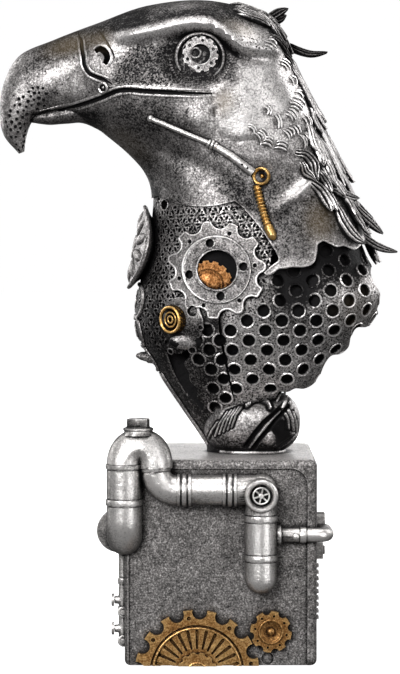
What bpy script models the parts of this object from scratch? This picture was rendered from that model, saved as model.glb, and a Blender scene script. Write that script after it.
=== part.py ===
"""Bust of a bird of prey on a cube plinth, in antique silver with bronze and copper fittings.

The beak points along -X and the underside of the plinth lies at Z = 0. The working unit is the
millimetre, turned into metres where a mesh is made.
"""
import math

import bmesh
import bpy
import numpy as np
from mathutils import Matrix, Vector
from mathutils.bvhtree import BVHTree

for leftover in list(bpy.data.objects):
    bpy.data.objects.remove(leftover, do_unlink=True)

MM = 0.001
GAP = 0.3              # clearance between two neighbouring pieces
SIDES = (-1, 1)        # the bird's right flank faces -Y, its left flank +Y

# ---------------------------------------------------------------- driving dimensions
PLINTH_WIDTH = 93.0
PLINTH_HEIGHT = 100.0
PLINTH_EDGE = 2.2      # rounding of the cube's edges
PANEL_DEPTH = 1.2      # recess of each upright face
PANEL_RIM = 3.2        # width of the rim around it
PANEL_CORNER = 7.0
FRONT = -PLINTH_WIDTH / 2
PANEL = FRONT + PANEL_DEPTH

# Ribs of the bird, from the tip of the beak to the foot. Each spans the median plane from the
# outer line (culmen, crown, nape, back) to the inner line (hook, chin, throat, breast):
# outer x, outer z, inner x, inner z, half width, place of the widest point, fullness.
RIBS = (
    (-99.7, 247.8, -97.0, 248.9, 1.4, 0.50, 2.0),
    (-107.1, 256.7, -96.0, 256.0, 4.6, 0.55, 2.0),
    (-109.0, 267.1, -93.6, 262.8, 7.0, 0.58, 2.1),
    (-107.5, 281.4, -89.6, 266.3, 8.8, 0.60, 2.2),
    (-99.5, 296.0, -82.5, 268.0, 10.8, 0.60, 2.3),
    (-82.2, 304.0, -74.0, 267.6, 13.6, 0.58, 2.4),
    (-60.4, 312.2, -63.5, 262.0, 20.0, 0.54, 2.5),
    (-34.7, 320.8, -55.1, 255.7, 27.5, 0.46, 2.5),
    (-3.6, 322.7, -45.7, 247.8, 33.5, 0.42, 2.4),
    (24.6, 312.9, -37.8, 238.9, 34.0, 0.42, 2.3),
    (37.0, 288.3, -34.3, 229.5, 33.5, 0.44, 2.2),
    (50.4, 258.7, -34.6, 217.1, 34.5, 0.44, 2.2),
    (63.4, 229.0, -37.0, 199.2, 37.0, 0.43, 2.2),
    (74.4, 200.2, -42.0, 177.4, 40.0, 0.42, 2.2),
    (80.0, 175.4, -41.8, 158.5, 40.5, 0.42, 2.2),
    (64.6, 153.0, -30.9, 139.0, 33.0, 0.44, 2.2),
    (38.8, 130.5, -17.0, 118.1, 21.0, 0.48, 2.1),
    (17.0, 111.0, -8.5, 105.0, 12.0, 0.50, 2.1),
    (12.0, 98.0, -7.4, 98.0, 9.5, 0.50, 2.1),
)
RIB_ROWS = 32          # rings of the carved solid
RIB_SIDES = 18         # points round each ring

EYE = (-10.0, 296.4)   # side view x, z
EYE_RADIUS = 11.6
EYE_STEPS = ((EYE_RADIUS, 3.0, 16), (7.4, 4.2, 10), (3.0, 5.4, 8))   # radius, height, sides
SOCKET_SIZE = (20.0, 9.0, 15.0)
SOCKET_DEPTH = 4.5     # floor of the socket below the cheek's level
BROW = ((-60.0, 300.0), (-46.2, 303.2), (-34.2, 304.9), (-22.1, 308.7), (-10.0, 311.9),
        (0.6, 309.4), (9.3, 302.0), (18.0, 298.0), (30.0, 296.0))
BROW_RADIUS = 4.2
MANDIBLE_CENTRE = (-68.0, 0.0, 269.2)
MANDIBLE_SIZE = (24.0, 9.6, 7.2)
MOUTH = ((-87.0, 267.3), (-77.3, 269.5), (-66.0, 272.6), (-58.8, 276.4), (-51.0, 279.1),
         (-34.4, 277.4), (-4.1, 276.2))
CERE = ((-68.7, 303.6), (-66.6, 292.5), (-63.0, 286.2), (-53.1, 281.3))
NOSTRIL = ((-60.0, 297.6), (-56.3, 296.2), (-56.2, 291.0))

# Lower edge of the skin in side view: collar line, lappet and torn edge, front to back.
SKIN_EDGE = ((-34.2, 225.6), (-23.5, 224.1), (-10.0, 221.9), (6.9, 224.6), (19.9, 211.1),
             (25.4, 202.6), (20.6, 195.0), (22.8, 189.5), (31.0, 193.2), (40.1, 193.3),
             (45.2, 196.4), (47.0, 204.6), (53.1, 204.4), (59.9, 203.4), (66.1, 201.5),
             (74.1, 206.5))
SKIN_STEP = 3.2        # drop from the skin to the mantle under its torn edge
COLLAR_STEP = 0.9      # drop from the skin to the collar

PLATE = (-1.8, 191.4)  # centre of the neck's gear plate
PLATE_RADIUS = 24.0
PLATE_RISE = 0.9       # height of the plate over the skin's level
BEZEL_RADIUS = 16.2
BEZEL_RISE = 2.0
PORTHOLE_RADIUS = 9.4
LOWER_PLATE = (-17.5, 165.0)
LOWER_PLATE_RISE = 0.6
COPPER_RING = (-23.1, 167.0)
COPPER_RADIUS = 6.0
COPPER_SUNK = 1.4
PORTHOLE_DEPTH = 4.0

HOLE_RADIUS = 3.0      # perforations of the mantle
HOLE_DEPTH = 2.4
HOLE_COLUMN = 8.4      # distance between two columns
HOLE_PITCH = 9.7       # distance along a column
HOLE_LEAN = 0.10       # a column leans back as it goes down
STEEP = 0.6            # holes stop where the flank turns away from the side view

MEDALLION_RADIUS = 21.0
BUD_CENTRE = (15.5, 0.0, 114.8)
BUD_SIZE = (24.3, 24.0, 16.6)

CHEEK_ROD = ((-33.7, 264.6), (-3.7, 251.6), (13.6, 239.6))
ROD_RADIUS = 0.9
KNUCKLE_RADIUS = 1.9
ARM_RADIUS = 1.4
STRUT_RING = (19.5, 236.2)
STRUT_RING_RADIUS = 3.6
STRUT_WIRE = 1.0
SPRING_RADIUS = 1.6
SPRING_RIBS = 2        # ribs in each third of the spring
STRUT = ((17.7, 232.6), (20.0, 222.7), (22.4, 214.4), (25.8, 205.7))

PIPE_LEFT = -46.4      # x of the two legs of the U bend
PIPE_RIGHT = -31.5
PIPE_RADIUS = 8.4
PIPE_SHOULDER = 98.0
CROSS_RADIUS = 7.2
CROSS_LEVEL = 86.0
DROP_X = 19.2
DROP_RADIUS = 7.7
DROP_END = 36.0
COLLAR_WIDTH = 1.6
COLLAR_RISE = 0.8
BRANCH_LEVEL = 64.0
BRANCH_RADIUS = 3.4
PIPE_Y = FRONT - 5.6   # the pipes are let into the front face
DOME_X = (PIPE_LEFT + PIPE_RIGHT) / 2
DOME_SIZE = (16.2, PIPE_RADIUS + 0.3, 17.0)
VALVE_LEVEL = CROSS_LEVEL - 2.0
VALVE_RADIUS = 8.2
VALVE_DISH = 5.4
FLANGE = (PIPE_LEFT - 3.0, PIPE_Y + 12, 65.0)
FLANGE_RADIUS = 10.6
FLANGE_THICKNESS = 4.0
STAND_RADIUS = 2.3     # the standing pipe lies against the left panel
STAND_X = PANEL - GAP - STAND_RADIUS
STAND_Y = FRONT + 9.0
STAND_LOW = 8.0
STAND_HIGH = 52.0
STAND_VALVES = (31.0, 17.0)
RACK_Y = -16.0         # the toothed strip stands behind the branch's bend
RACK_LOW = 17.5
RACK_KNOB = 67.2
RACK_TEETH = 6
RACK_PITCH = 5.4
RACK_WIDTH = 6.0
RACK_DEPTH = 2.6

HALF_GEAR = (-11.4, -2.5)
HALF_GEAR_RADIUS = 30.0
HALF_GEAR_TEETH = 20
SMALL_GEAR = (24.2, 17.0)
SMALL_GEAR_RADIUS = 9.7
GEAR_THICKNESS = 3.0
GEAR_FOOT = 0.4        # the large gear is cut off level with the plinth's underside

# ---------------------------------------------------------------- scene helpers
model = bpy.data.collections.new("bird_of_prey_bust")
tools = bpy.data.collections.new("cutters")
bpy.context.scene.collection.children.link(model)
bpy.context.scene.collection.children.link(tools)


def finish(name, colour, roughness, metallic=1.0):
    material = bpy.data.materials.new(name)
    material.use_nodes = True
    shader = material.node_tree.nodes["Principled BSDF"]
    shader.inputs["Base Color"].default_value = (*colour, 1.0)
    shader.inputs["Roughness"].default_value = roughness
    shader.inputs["Metallic"].default_value = metallic
    return material


SILVER = finish("antique_silver", (0.40, 0.39, 0.39), 0.36)
PEWTER = finish("dark_pewter", (0.24, 0.24, 0.24), 0.45)
STEEL = finish("bright_pipe", (0.50, 0.49, 0.48), 0.34)
BRONZE = finish("bronze", (0.45, 0.25, 0.08), 0.35)
BRASS = finish("brass", (0.75, 0.42, 0.10), 0.28)
COPPER = finish("copper", (0.60, 0.24, 0.08), 0.34)


def add(name, mesh, group=tools, material=None):
    """An object for a mesh. Cutters and guides stay out of renders."""
    thing = bpy.data.objects.new(name, mesh)
    group.objects.link(thing)
    if group is tools:
        thing.hide_render = True
        thing.display_type = "WIRE"
    if material:
        mesh.materials.clear()
        mesh.materials.append(material)
    return thing


def mesh_from(name, build, scale=MM):
    """A mesh that build(bm) fills in millimetres."""
    bm = bmesh.new()
    build(bm)
    bmesh.ops.scale(bm, vec=(scale,) * 3, verts=bm.verts)
    bmesh.ops.recalc_face_normals(bm, faces=bm.faces)
    mesh = bpy.data.meshes.new(name)
    bm.to_mesh(mesh)
    bm.free()
    return mesh


def join(*parts):
    """One build step from several."""
    def build(bm):
        for part in parts:
            part(bm)
    return build


def placed(bm, verts, matrix):
    bmesh.ops.transform(bm, matrix=matrix, verts=verts)


def frame_at(origin, towards, up=(0, 0, 1)):
    """A matrix whose Z axis points along towards and whose Y axis is near up."""
    z = Vector(towards).normalized()
    x = Vector(up).cross(z)
    if x.length < 1e-6:
        x = Vector((1, 0, 0))
    x.normalize()
    y = z.cross(x)
    return Matrix.Translation(Vector(origin)) @ Matrix((x, y, z)).transposed().to_4x4()


def drum(origin, towards, radius, length, sides=16, top=None):
    """A cylinder or cone that starts at origin and runs along towards."""
    def build(bm):
        made = bmesh.ops.create_cone(bm, cap_ends=True, segments=sides, radius1=radius,
                                     radius2=radius if top is None else top, depth=length)
        lift = Matrix.Translation((0, 0, length / 2))
        placed(bm, made["verts"], frame_at(origin, towards) @ lift)
    return build


def ball(centre, size, sides=12, rings=8):
    def build(bm):
        made = bmesh.ops.create_uvsphere(bm, u_segments=sides, v_segments=rings, radius=1.0)
        bmesh.ops.scale(bm, vec=size, verts=made["verts"])
        bmesh.ops.translate(bm, vec=centre, verts=made["verts"])
    return build


def half_ball(centre, size, sides=12, rings=8):
    """The upper half of an ellipsoid, flat below."""
    def build(bm):
        made = bmesh.ops.create_uvsphere(bm, u_segments=sides, v_segments=rings, radius=1.0)
        verts = made["verts"]
        geometry = verts + list({e for v in verts for e in v.link_edges}) \
            + list({f for v in verts for f in v.link_faces})
        cut = bmesh.ops.bisect_plane(bm, geom=geometry, plane_co=(0, 0, 0), plane_no=(0, 0, 1),
                                     dist=1e-4, clear_inner=True)
        rim = [e for e in cut["geom_cut"] if isinstance(e, bmesh.types.BMEdge)]
        bmesh.ops.contextual_create(bm, geom=rim)
        bmesh.ops.scale(bm, vec=size, verts=bm.verts)
        bmesh.ops.translate(bm, vec=centre, verts=bm.verts)
    return build


def box(low, high):
    def build(bm):
        made = bmesh.ops.create_cube(bm, size=1.0)
        size = [b - a for a, b in zip(low, high)]
        middle = [(a + b) / 2 for a, b in zip(low, high)]
        bmesh.ops.scale(bm, vec=size, verts=made["verts"])
        bmesh.ops.translate(bm, vec=middle, verts=made["verts"])
    return build


def curve_mesh(name, curve, matrix=Matrix()):
    """The welded mesh of a curve, in its own frame moved by matrix."""
    holder = bpy.data.objects.new(name, curve)
    tools.objects.link(holder)
    graph = bpy.context.evaluated_depsgraph_get()
    mesh = bpy.data.meshes.new_from_object(holder.evaluated_get(graph))
    bpy.data.objects.remove(holder, do_unlink=True)
    bm = bmesh.new()
    bm.from_mesh(mesh)
    bmesh.ops.remove_doubles(bm, verts=bm.verts, dist=0.00001)
    bmesh.ops.transform(bm, matrix=matrix, verts=bm.verts)
    bmesh.ops.recalc_face_normals(bm, faces=bm.faces)
    bm.to_mesh(mesh)
    bm.free()
    return mesh


def tube(name, path, radius, swell=None, closed=False, resolution=2):
    """A round bar along a path in millimetres; swell scales its radius point by point."""
    curve = bpy.data.curves.new(name, "CURVE")
    curve.dimensions = "3D"
    curve.bevel_depth = radius * MM
    curve.bevel_resolution = resolution
    curve.use_fill_caps = not closed
    spline = curve.splines.new("POLY")
    spline.points.add(len(path) - 1)
    for i, point in enumerate(path):
        spline.points[i].co = (*(Vector(point) * MM), 1.0)
        spline.points[i].radius = swell[i] if swell else 1.0
    spline.use_cyclic_u = closed
    return curve_mesh(name, curve)


def slab(name, outlines, thickness, matrix):
    """Flat outlines in millimetres, extruded evenly to both sides of the matrix's XY plane."""
    curve = bpy.data.curves.new(name, "CURVE")
    curve.dimensions = "2D"
    curve.fill_mode = "BOTH"
    curve.extrude = thickness / 2 * MM
    for outline in outlines:
        spline = curve.splines.new("POLY")
        spline.points.add(len(outline) - 1)
        for knot, (x, y) in zip(spline.points, outline):
            knot.co = (x * MM, y * MM, 0.0, 1.0)
        spline.use_cyclic_u = True
    shifted = matrix.copy()
    shifted.translation = matrix.translation * MM
    return curve_mesh(name, curve, shifted)


def upright(y=0.0):
    """A frame for a side view outline: its X is world X, its Y is world Z, at depth y."""
    return Matrix.Translation((0, y, 0)) @ Matrix.Rotation(math.pi / 2, 4, "X")


def combine(target, tool, operation, solver="EXACT"):
    step = target.modifiers.new(f"{operation.lower()}_{tool.name}", "BOOLEAN")
    step.object = tool
    step.operation = operation
    step.solver = solver
    return step


def shape(target, operation, name, *solids):
    """Unites or cuts with solids that don't touch each other. The body's layers lie close
    together, where the exact solver leaves slivers."""
    combine(target, add(name, mesh_from(name, join(*solids))), operation, "MANIFOLD")


# ---------------------------------------------------------------- the bird's body
def blend_rows(rows, place):
    """Catmull-Rom interpolation of a table's rows at fractional row numbers."""
    rows = np.asarray(rows, float)
    padded = np.vstack([2 * rows[0] - rows[1], rows, 2 * rows[-1] - rows[-2]])
    place = np.clip(np.asarray(place, float), 0, len(rows) - 1)
    low = np.minimum(place.astype(int), len(rows) - 2)
    t = (place - low)[:, None]
    a, b, c, d = (padded[low + k] for k in range(4))
    return 0.5 * (2 * b + (c - a) * t + (2 * a - 5 * b + 4 * c - d) * t ** 2
                  + (3 * b - a - 3 * c + d) * t ** 3)


def rib_points(place, turn):
    """Points of the body at rib number place and angle turn (0 = outer line, pi = inner)."""
    row = blend_rows(RIBS, place)
    outer, inner, width, widest, power = row[:, :2], row[:, 2:4], row[:, 4], row[:, 5], row[:, 6]
    cosine, sine = np.cos(turn), np.sin(turn)
    along = (1 - np.sign(cosine) * np.abs(cosine) ** (2 / power)) / 2
    along = along ** (np.log(widest) / math.log(0.5))
    across = np.sign(sine) * np.abs(sine) ** (2 / power)
    flat = outer + (inner - outer) * along[:, None]
    return np.stack([flat[:, 0], width * across, flat[:, 1]], axis=1)


def distance_to_line(x, z, line):
    """Distance in side view to a polyline."""
    line = np.asarray(line, float)
    best = np.full(np.shape(x), 1e9)
    for a, b in zip(line[:-1], line[1:]):
        d = b - a
        t = np.clip(((x - a[0]) * d[0] + (z - a[1]) * d[1]) / (d @ d), 0, 1)
        best = np.minimum(best, np.hypot(x - a[0] - t * d[0], z - a[1] - t * d[1]))
    return best


def height_on(line, x):
    """Height of a side view polyline at x. Where it doubles back, it drops straight down."""
    line = np.asarray(line, float)
    return np.interp(x, np.maximum.accumulate(line[:, 0]), line[:, 1])


def bump(distance, reach):
    return np.exp(-(distance / reach) ** 2)


def carving(points, normals):
    """Height of the broad forms over the plain body: lore, cheek, jaw and folds."""
    x, z = points[:, 0], points[:, 2]
    flank = np.clip(np.abs(normals[:, 1]) * 1.6 - 0.25, 0, 1)
    under_brow = np.clip((height_on(BROW, x) - z) / 3.0, 0, 1)
    lore = -2.5 * bump(np.hypot((x + 36) / 1.6, z - 297), 8.0) * under_brow
    cheek = 2.2 * bump(np.hypot(x - 22, z - 277), 16.0)
    jaw = 2.4 * bump(np.hypot((x + 14) / 1.3, z - 262), 8.0)
    fold = -2.2 * bump(distance_to_line(x, z, ((-4, 246), (10, 262), (30, 257), (44, 250))), 4.0)
    tendon = 2.0 * bump(distance_to_line(x, z, ((52, 240), (40, 230), (34, 224))), 3.5)
    return flank * (lore + cheek + jaw + fold + tendon)


def under_skin(points):
    """How far the mantle and collar lie below the skin's level."""
    x, z = points[:, 0], points[:, 2]
    edge = height_on([(-60, 240)] + list(SKIN_EDGE) + [(90, 206)], x)
    near_tear = np.clip((x - 8) / 14, 0, 1) * np.clip(1 - (edge - z) / 34, 0, 1)
    covered = np.clip((z - edge + 3) / 3, 0, 1)
    return -SKIN_STEP * np.maximum(near_tear, covered) - COLLAR_STEP * (1 - covered)


def body_grid(layer, lift=0.0):
    """Rings of points of the body, carved, and moved out by the layer and the lift."""
    place = np.repeat(np.linspace(0, len(RIBS) - 1, RIB_ROWS), RIB_SIDES)
    turn = np.tile(np.arange(RIB_SIDES) * 2 * math.pi / RIB_SIDES, RIB_ROWS)
    points = rib_points(place, turn)
    grid = points.reshape(RIB_ROWS, RIB_SIDES, 3)
    along = np.gradient(grid, axis=0)
    around = np.roll(grid, -1, axis=1) - np.roll(grid, 1, axis=1)
    normals = np.cross(along, around).reshape(-1, 3)
    normals /= np.linalg.norm(normals, axis=1)[:, None] + 1e-9
    slender = np.clip(np.minimum(place / 6.0, (len(RIBS) - 1 - place) / 1.5), 0, 1)
    height = carving(points, normals) + layer(points) + lift
    return points + normals * (height * slender)[:, None]


def grid_mesh(name, points):
    """Closes the rings of points into one body with a cap at each end."""
    def build(bm):
        rings = [[bm.verts.new(p) for p in ring] for ring in points.reshape(RIB_ROWS, RIB_SIDES, 3)]
        for lower, upper in zip(rings[:-1], rings[1:]):
            for i in range(RIB_SIDES):
                j = (i + 1) % RIB_SIDES
                bm.faces.new((lower[i], lower[j], upper[j], upper[i]))
        bm.faces.new(rings[0][::-1])
        bm.faces.new(rings[-1])
    return mesh_from(name, build)


def flat_layer(points):
    return np.zeros(len(points))


GUIDE = bmesh.new()
GUIDE.from_mesh(grid_mesh("skin_guide", body_grid(flat_layer)))
SKIN = BVHTree.FromBMesh(GUIDE)


def on_flank(x, z, side, lift=0.0):
    """The point of the skin seen at x, z from the given side, lifted along its normal."""
    start = Vector((x, side * 200.0, z)) * MM
    hit, normal = SKIN.ray_cast(start, Vector((0, -side, 0)))[:2]
    if hit is None:
        return None, None
    return hit / MM + normal * lift, normal


def flank_path(line, side, lift, step=4.0):
    """Points on the skin along a side view polyline, about one step apart."""
    line = [Vector(p) for p in line]
    marks = []
    for a, b in zip(line[:-1], line[1:]):
        count = max(1, round((b - a).length / step))
        marks += [a.lerp(b, i / count) for i in range(count)]
    marks.append(line[-1])
    return [on_flank(p[0], p[1], side, lift)[0] for p in marks]


def cut_sheet(name, outline, lift, depth=200.0):
    """The part of the skin, moved out by lift, that lies inside a side view outline."""
    sheet = add(name, grid_mesh(name, body_grid(flat_layer, lift)))
    window = add(name + "_window", slab(name + "_window", [outline], depth, upright()))
    combine(sheet, window, "INTERSECT", "MANIFOLD")
    return sheet


# ---------------------------------------------------------------- feather locks
# Root rib and turn, tip rib and turn (degrees from the outer line), lift of the tip, width.
# Locks in one group don't touch each other.
LOCKS = (
    ((8.2, 9, 9.1, 8, 11.0, 8.5), (9.0, 32, 10.2, 32, 3.2, 10.0), (10.0, 13, 10.9, 13, 4.5, 8.0),
     (10.7, 34, 12.0, 31, 3.0, 10.5), (11.6, 11, 12.9, 10, 9.5, 9.0), (12.0, 45, 13.1, 43, 2.6, 10)),
    ((9.5, 7, 9.8, 5, 19.0, 4.5), (9.9, 48, 11.2, 45, 2.6, 10.0), (9.9, 25, 11.3, 21, 3.8, 10.0),
     (11.7, 27, 13.3, 22, 9.5, 10.5), (12.6, 9, 13.4, 9, 12.0, 8.0)),
)
LOCK_STEPS = 4
LOCK_ROOT_DEPTH = 2.6  # the underside of a lock lies this far inside the skin at its root


def lock(row, side):
    """A leaf-shaped lock with a ridge, which leaves the surface towards its tip."""
    rib_a, turn_a, rib_b, turn_b, rise, width = row

    def build(bm):
        t = np.linspace(0, 1, LOCK_STEPS)
        place = rib_a + (rib_b - rib_a) * t
        turn = side * np.radians(turn_a + (turn_b - turn_a) * t)
        base = rib_points(place, turn)
        ahead = rib_points(place + 0.05, turn) - base
        around = rib_points(place, turn + 0.05) - base
        rings = []
        for i, share in enumerate(t):
            run = Vector(ahead[i]).normalized()
            out = Vector(ahead[i]).cross(Vector(around[i])).normalized()
            across = run.cross(out)
            middle = Vector(base[i]) + out * rise * share ** 1.7
            half = width / 2 * (0.6 + 0.9 * share) * (1 - share ** 4) + 0.4
            ridge = 2.0 - 1.4 * share
            keel = LOCK_ROOT_DEPTH * (1 - share) + 0.5
            rings.append([bm.verts.new(middle + across * half * c + out * lift)
                          for c, lift in ((1, -keel * 0.3), (0, ridge), (-1, -keel * 0.3),
                                          (0, -keel))])
        for a, b in zip(rings[:-1], rings[1:]):
            for i in range(4):
                bm.faces.new((a[i], a[(i + 1) % 4], b[(i + 1) % 4], b[i]))
        bm.faces.new(rings[0])
        bm.faces.new(rings[-1])
    return build


# ---------------------------------------------------------------- outlines of gears and plates
def scalloped(centre, radius, notches, notch_radius, start=0.0, tooth_points=3, notch_points=5,
              notch_out=0.0):
    """A disc with round notches in its rim, as in a sprocket."""
    outline = []
    reach = radius + notch_out
    half = math.acos((radius ** 2 + reach ** 2 - notch_radius ** 2) / (2 * radius * reach))
    pitch = 2 * math.pi / notches
    for i in range(notches):
        middle = start + i * pitch
        cx, cz = reach * math.cos(middle), reach * math.sin(middle)
        first = math.atan2(radius * math.sin(middle - half) - cz,
                           radius * math.cos(middle - half) - cx)
        last = math.atan2(radius * math.sin(middle + half) - cz,
                          radius * math.cos(middle + half) - cx)
        sweep = (first - last) % (2 * math.pi)
        for k in range(notch_points):
            angle = first - sweep * k / (notch_points - 1)
            outline.append((centre[0] + cx + notch_radius * math.cos(angle),
                            centre[1] + cz + notch_radius * math.sin(angle)))
        for k in range(1, tooth_points):
            angle = middle + half + (pitch - 2 * half) * k / tooth_points
            outline.append((centre[0] + radius * math.cos(angle),
                            centre[1] + radius * math.sin(angle)))
    return outline


def mantle_holes():
    """Side view centres of the mantle's holes: leaning columns of a hexagonal lattice."""
    holes = []
    for column in range(-3, 10):
        for row in range(-6, 7):
            fall = (row + 0.5 * (column % 2)) * HOLE_PITCH
            x = 18.6 + column * HOLE_COLUMN * (1 if column >= -2 else 0.9) + HOLE_LEAN * fall
            z = 172.0 - fall
            normal = on_flank(x, z, -1)[1]
            steep = normal is None or abs(normal.y) < STEEP
            torn = z > height_on(SKIN_EDGE, x) - 3.5
            plated = math.hypot(x - PLATE[0], z - PLATE[1]) < PLATE_RADIUS + 3.5
            forward = x < -12 + max(0, (150 - z) * 0.18)
            if not (steep or torn or plated or forward or z < 125):
                holes.append((x, z))
    return holes


# ---------------------------------------------------------------- bird
def eye_level(side):
    """Y of the floor of the eye socket."""
    return on_flank(*EYE, side)[0].y - side * SOCKET_DEPTH


def eye_step(side, radius, rise, sides):
    """One of the coaxial discs of the eye, turned about the Y axis."""
    y = eye_level(side)
    return drum((EYE[0], y - side * 3, EYE[1]), (0, side, 0), radius, 3.0 + rise, sides)


def brow_tube(side):
    """The brow: a ridge that tapers to both ends and overhangs the eye."""
    path = flank_path(BROW, side, -1.2, 12.0)
    count = len(path) - 1
    swell = [0.25 + 0.75 * math.sin(math.pi * min(1.0, 0.12 + i / count * 0.88)) ** 0.7
             for i in range(count + 1)]
    return tube(f"brow_{side}", path, BROW_RADIUS, swell, resolution=1)


def build_bird():
    bird = add("bird", grid_mesh("bird", body_grid(under_skin)), model, SILVER)

    far = 150.0
    skin_outline = [(-far, 232.0), *SKIN_EDGE, (far, 206.5), (far, 340.0), (-far, 340.0)]
    plate = scalloped(PLATE, PLATE_RADIUS, 8, 5.2, 0.2, notch_out=1.6, tooth_points=1)
    lower = scalloped(LOWER_PLATE, 12.0, 6, 3.0, 0.5, notch_out=0.8, tooth_points=1,
                      notch_points=3)
    for name, outline, lift in (("skin", skin_outline, 0.0), ("plate", plate, PLATE_RISE),
                                ("lower_plate", lower, LOWER_PLATE_RISE)):
        combine(bird, cut_sheet(name, outline, lift), "UNION", "MANIFOLD")

    sockets = []
    for side in SIDES:
        y = on_flank(*EYE, side)[0].y + side * (SOCKET_SIZE[1] - SOCKET_DEPTH)
        sockets.append(ball((EYE[0] - 2, y, EYE[1] - 1), SOCKET_SIZE, 14, 8))
    shape(bird, "DIFFERENCE", "sockets", *sockets)
    for side in SIDES:
        combine(bird, add(f"brow_{side}", brow_tube(side)), "UNION", "MANIFOLD")
    for i, (radius, rise, sides) in enumerate(EYE_STEPS):
        shape(bird, "UNION", f"eyes_{i}", *(eye_step(side, radius, rise, sides)
                                            for side in SIDES))
    for i, group in enumerate(LOCKS):
        shape(bird, "UNION", f"locks_{i}", *(lock(row, side) for row in group for side in SIDES))

    shape(bird, "UNION", "mandible", ball(MANDIBLE_CENTRE, MANDIBLE_SIZE, 8, 6))
    shape(bird, "UNION", "bud", ball(BUD_CENTRE, BUD_SIZE, 12, 8))
    shape(bird, "UNION", "medallion",
          drum((-36.0, 0, 204.5), (-0.985, 0, -0.17), MEDALLION_RADIUS, 7.5, 20, top=18.5),
          drum((-36.0, 0, 151.5), (-0.9, 0, -0.35), 4.0, 8.5, 6, top=0.8))
    shape(bird, "UNION", "bezels", *(
        drum((PLATE[0], on_flank(*PLATE, side)[0].y - side * 6, PLATE[1]), (0, side, 0),
             BEZEL_RADIUS, 6 + BEZEL_RISE, 20) for side in SIDES))
    shape(bird, "DIFFERENCE", "floor", box((-60, -60, 60), (60, 60, PLINTH_HEIGHT + GAP)))
    return bird


def cut_bird(bird):
    """Perforations, lines of the face and pockets for the pieces let in."""
    pits = []
    for x, z in mantle_holes():       # the left flank, at the back, is the plainer one
        point, normal = on_flank(x, z, -1)
        recess = float(under_skin(np.array([[x, 0.0, z]]))[0])
        bottom = point + normal * (recess - HOLE_DEPTH)
        pits.append(drum(bottom, normal, HOLE_RADIUS, HOLE_DEPTH + 4.0, 6))
    for side in SIDES:
        pits.append(drum((PLATE[0], porthole_level(side), PLATE[1]), (0, side, 0),
                         PORTHOLE_RADIUS, 16.0, 16))
        for place, radius, depth in ((COPPER_RING, COPPER_RADIUS, COPPER_SUNK),
                                     (STRUT_RING, STRUT_RING_RADIUS + STRUT_WIRE, STRUT_WIRE)):
            centre, normal = on_flank(*place, side)
            pits.append(drum(centre - normal * depth, normal, radius + GAP, 9.0, 12))
    shape(bird, "DIFFERENCE", "pits", *pits)
    for side in SIDES:
        lines = (
            tube(f"mouth_{side}", flank_path(MOUTH, side, 0.1, 18.0), 1.1, resolution=0),
            tube(f"cere_{side}", flank_path(CERE, side, 0.1, 12.0), 0.9, resolution=0),
            tube(f"nostril_{side}", flank_path(NOSTRIL, side, 0.0, 9.0), 1.4, resolution=0),
            cheek_rod(f"rod_pocket_{side}", side, GAP),
            tube(f"spring_pocket_{side}", spring_path(side), SPRING_RADIUS * 1.15 + GAP,
                 resolution=1),
        )
        for mesh in lines:
            combine(bird, add(mesh.name, mesh), "DIFFERENCE", "MANIFOLD")


# ---------------------------------------------------------------- fittings of the neck
def cheek_rod(name, side, grow=0.0):
    """A thin rod, a knuckle and a thicker arm, lying half sunk along the jaw."""
    start, knuckle, end = flank_path(CHEEK_ROD, side, 0.9, 100.0)
    front, rear = (knuckle - start).normalized(), (end - knuckle).normalized()
    path = [start, knuckle - front * 2.4, knuckle - front * 1.8, knuckle + rear * 1.8,
            knuckle + rear * 2.4, end]
    radii = [ROD_RADIUS, ROD_RADIUS, KNUCKLE_RADIUS, KNUCKLE_RADIUS, ARM_RADIUS, ARM_RADIUS]
    return tube(name, path, 1.0, [radius + grow for radius in radii], resolution=1)


def spring_path(side):
    return flank_path(STRUT, side, 0.9, 9.0)


def spring_strut(name, side):
    """The ribbed brass spring, with its ring at the top end."""
    ends = spring_path(side)
    path, swell = [], []
    for a, b in zip(ends[:-1], ends[1:]):
        for k in range(SPRING_RIBS):
            path += [a.lerp(b, k / SPRING_RIBS), a.lerp(b, (k + 0.5) / SPRING_RIBS)]
            swell += [0.85, 1.15]
    path.append(ends[-1])
    swell.append(0.7)
    spring = tube(name, path, SPRING_RADIUS, swell, resolution=1)

    centre, normal = on_flank(*STRUT_RING, side, 0.6)
    matrix = frame_at(centre, normal)
    ring = [matrix @ Vector((STRUT_RING_RADIUS * math.cos(a), STRUT_RING_RADIUS * math.sin(a), 0))
            for a in np.linspace(0, 2 * math.pi, 12, endpoint=False)]
    return spring, tube(name + "_ring", ring, STRUT_WIRE, closed=True, resolution=1)


def porthole_level(side):
    """Y of the floor behind the porthole."""
    return on_flank(*PLATE, side)[0].y - side * PORTHOLE_DEPTH


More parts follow.
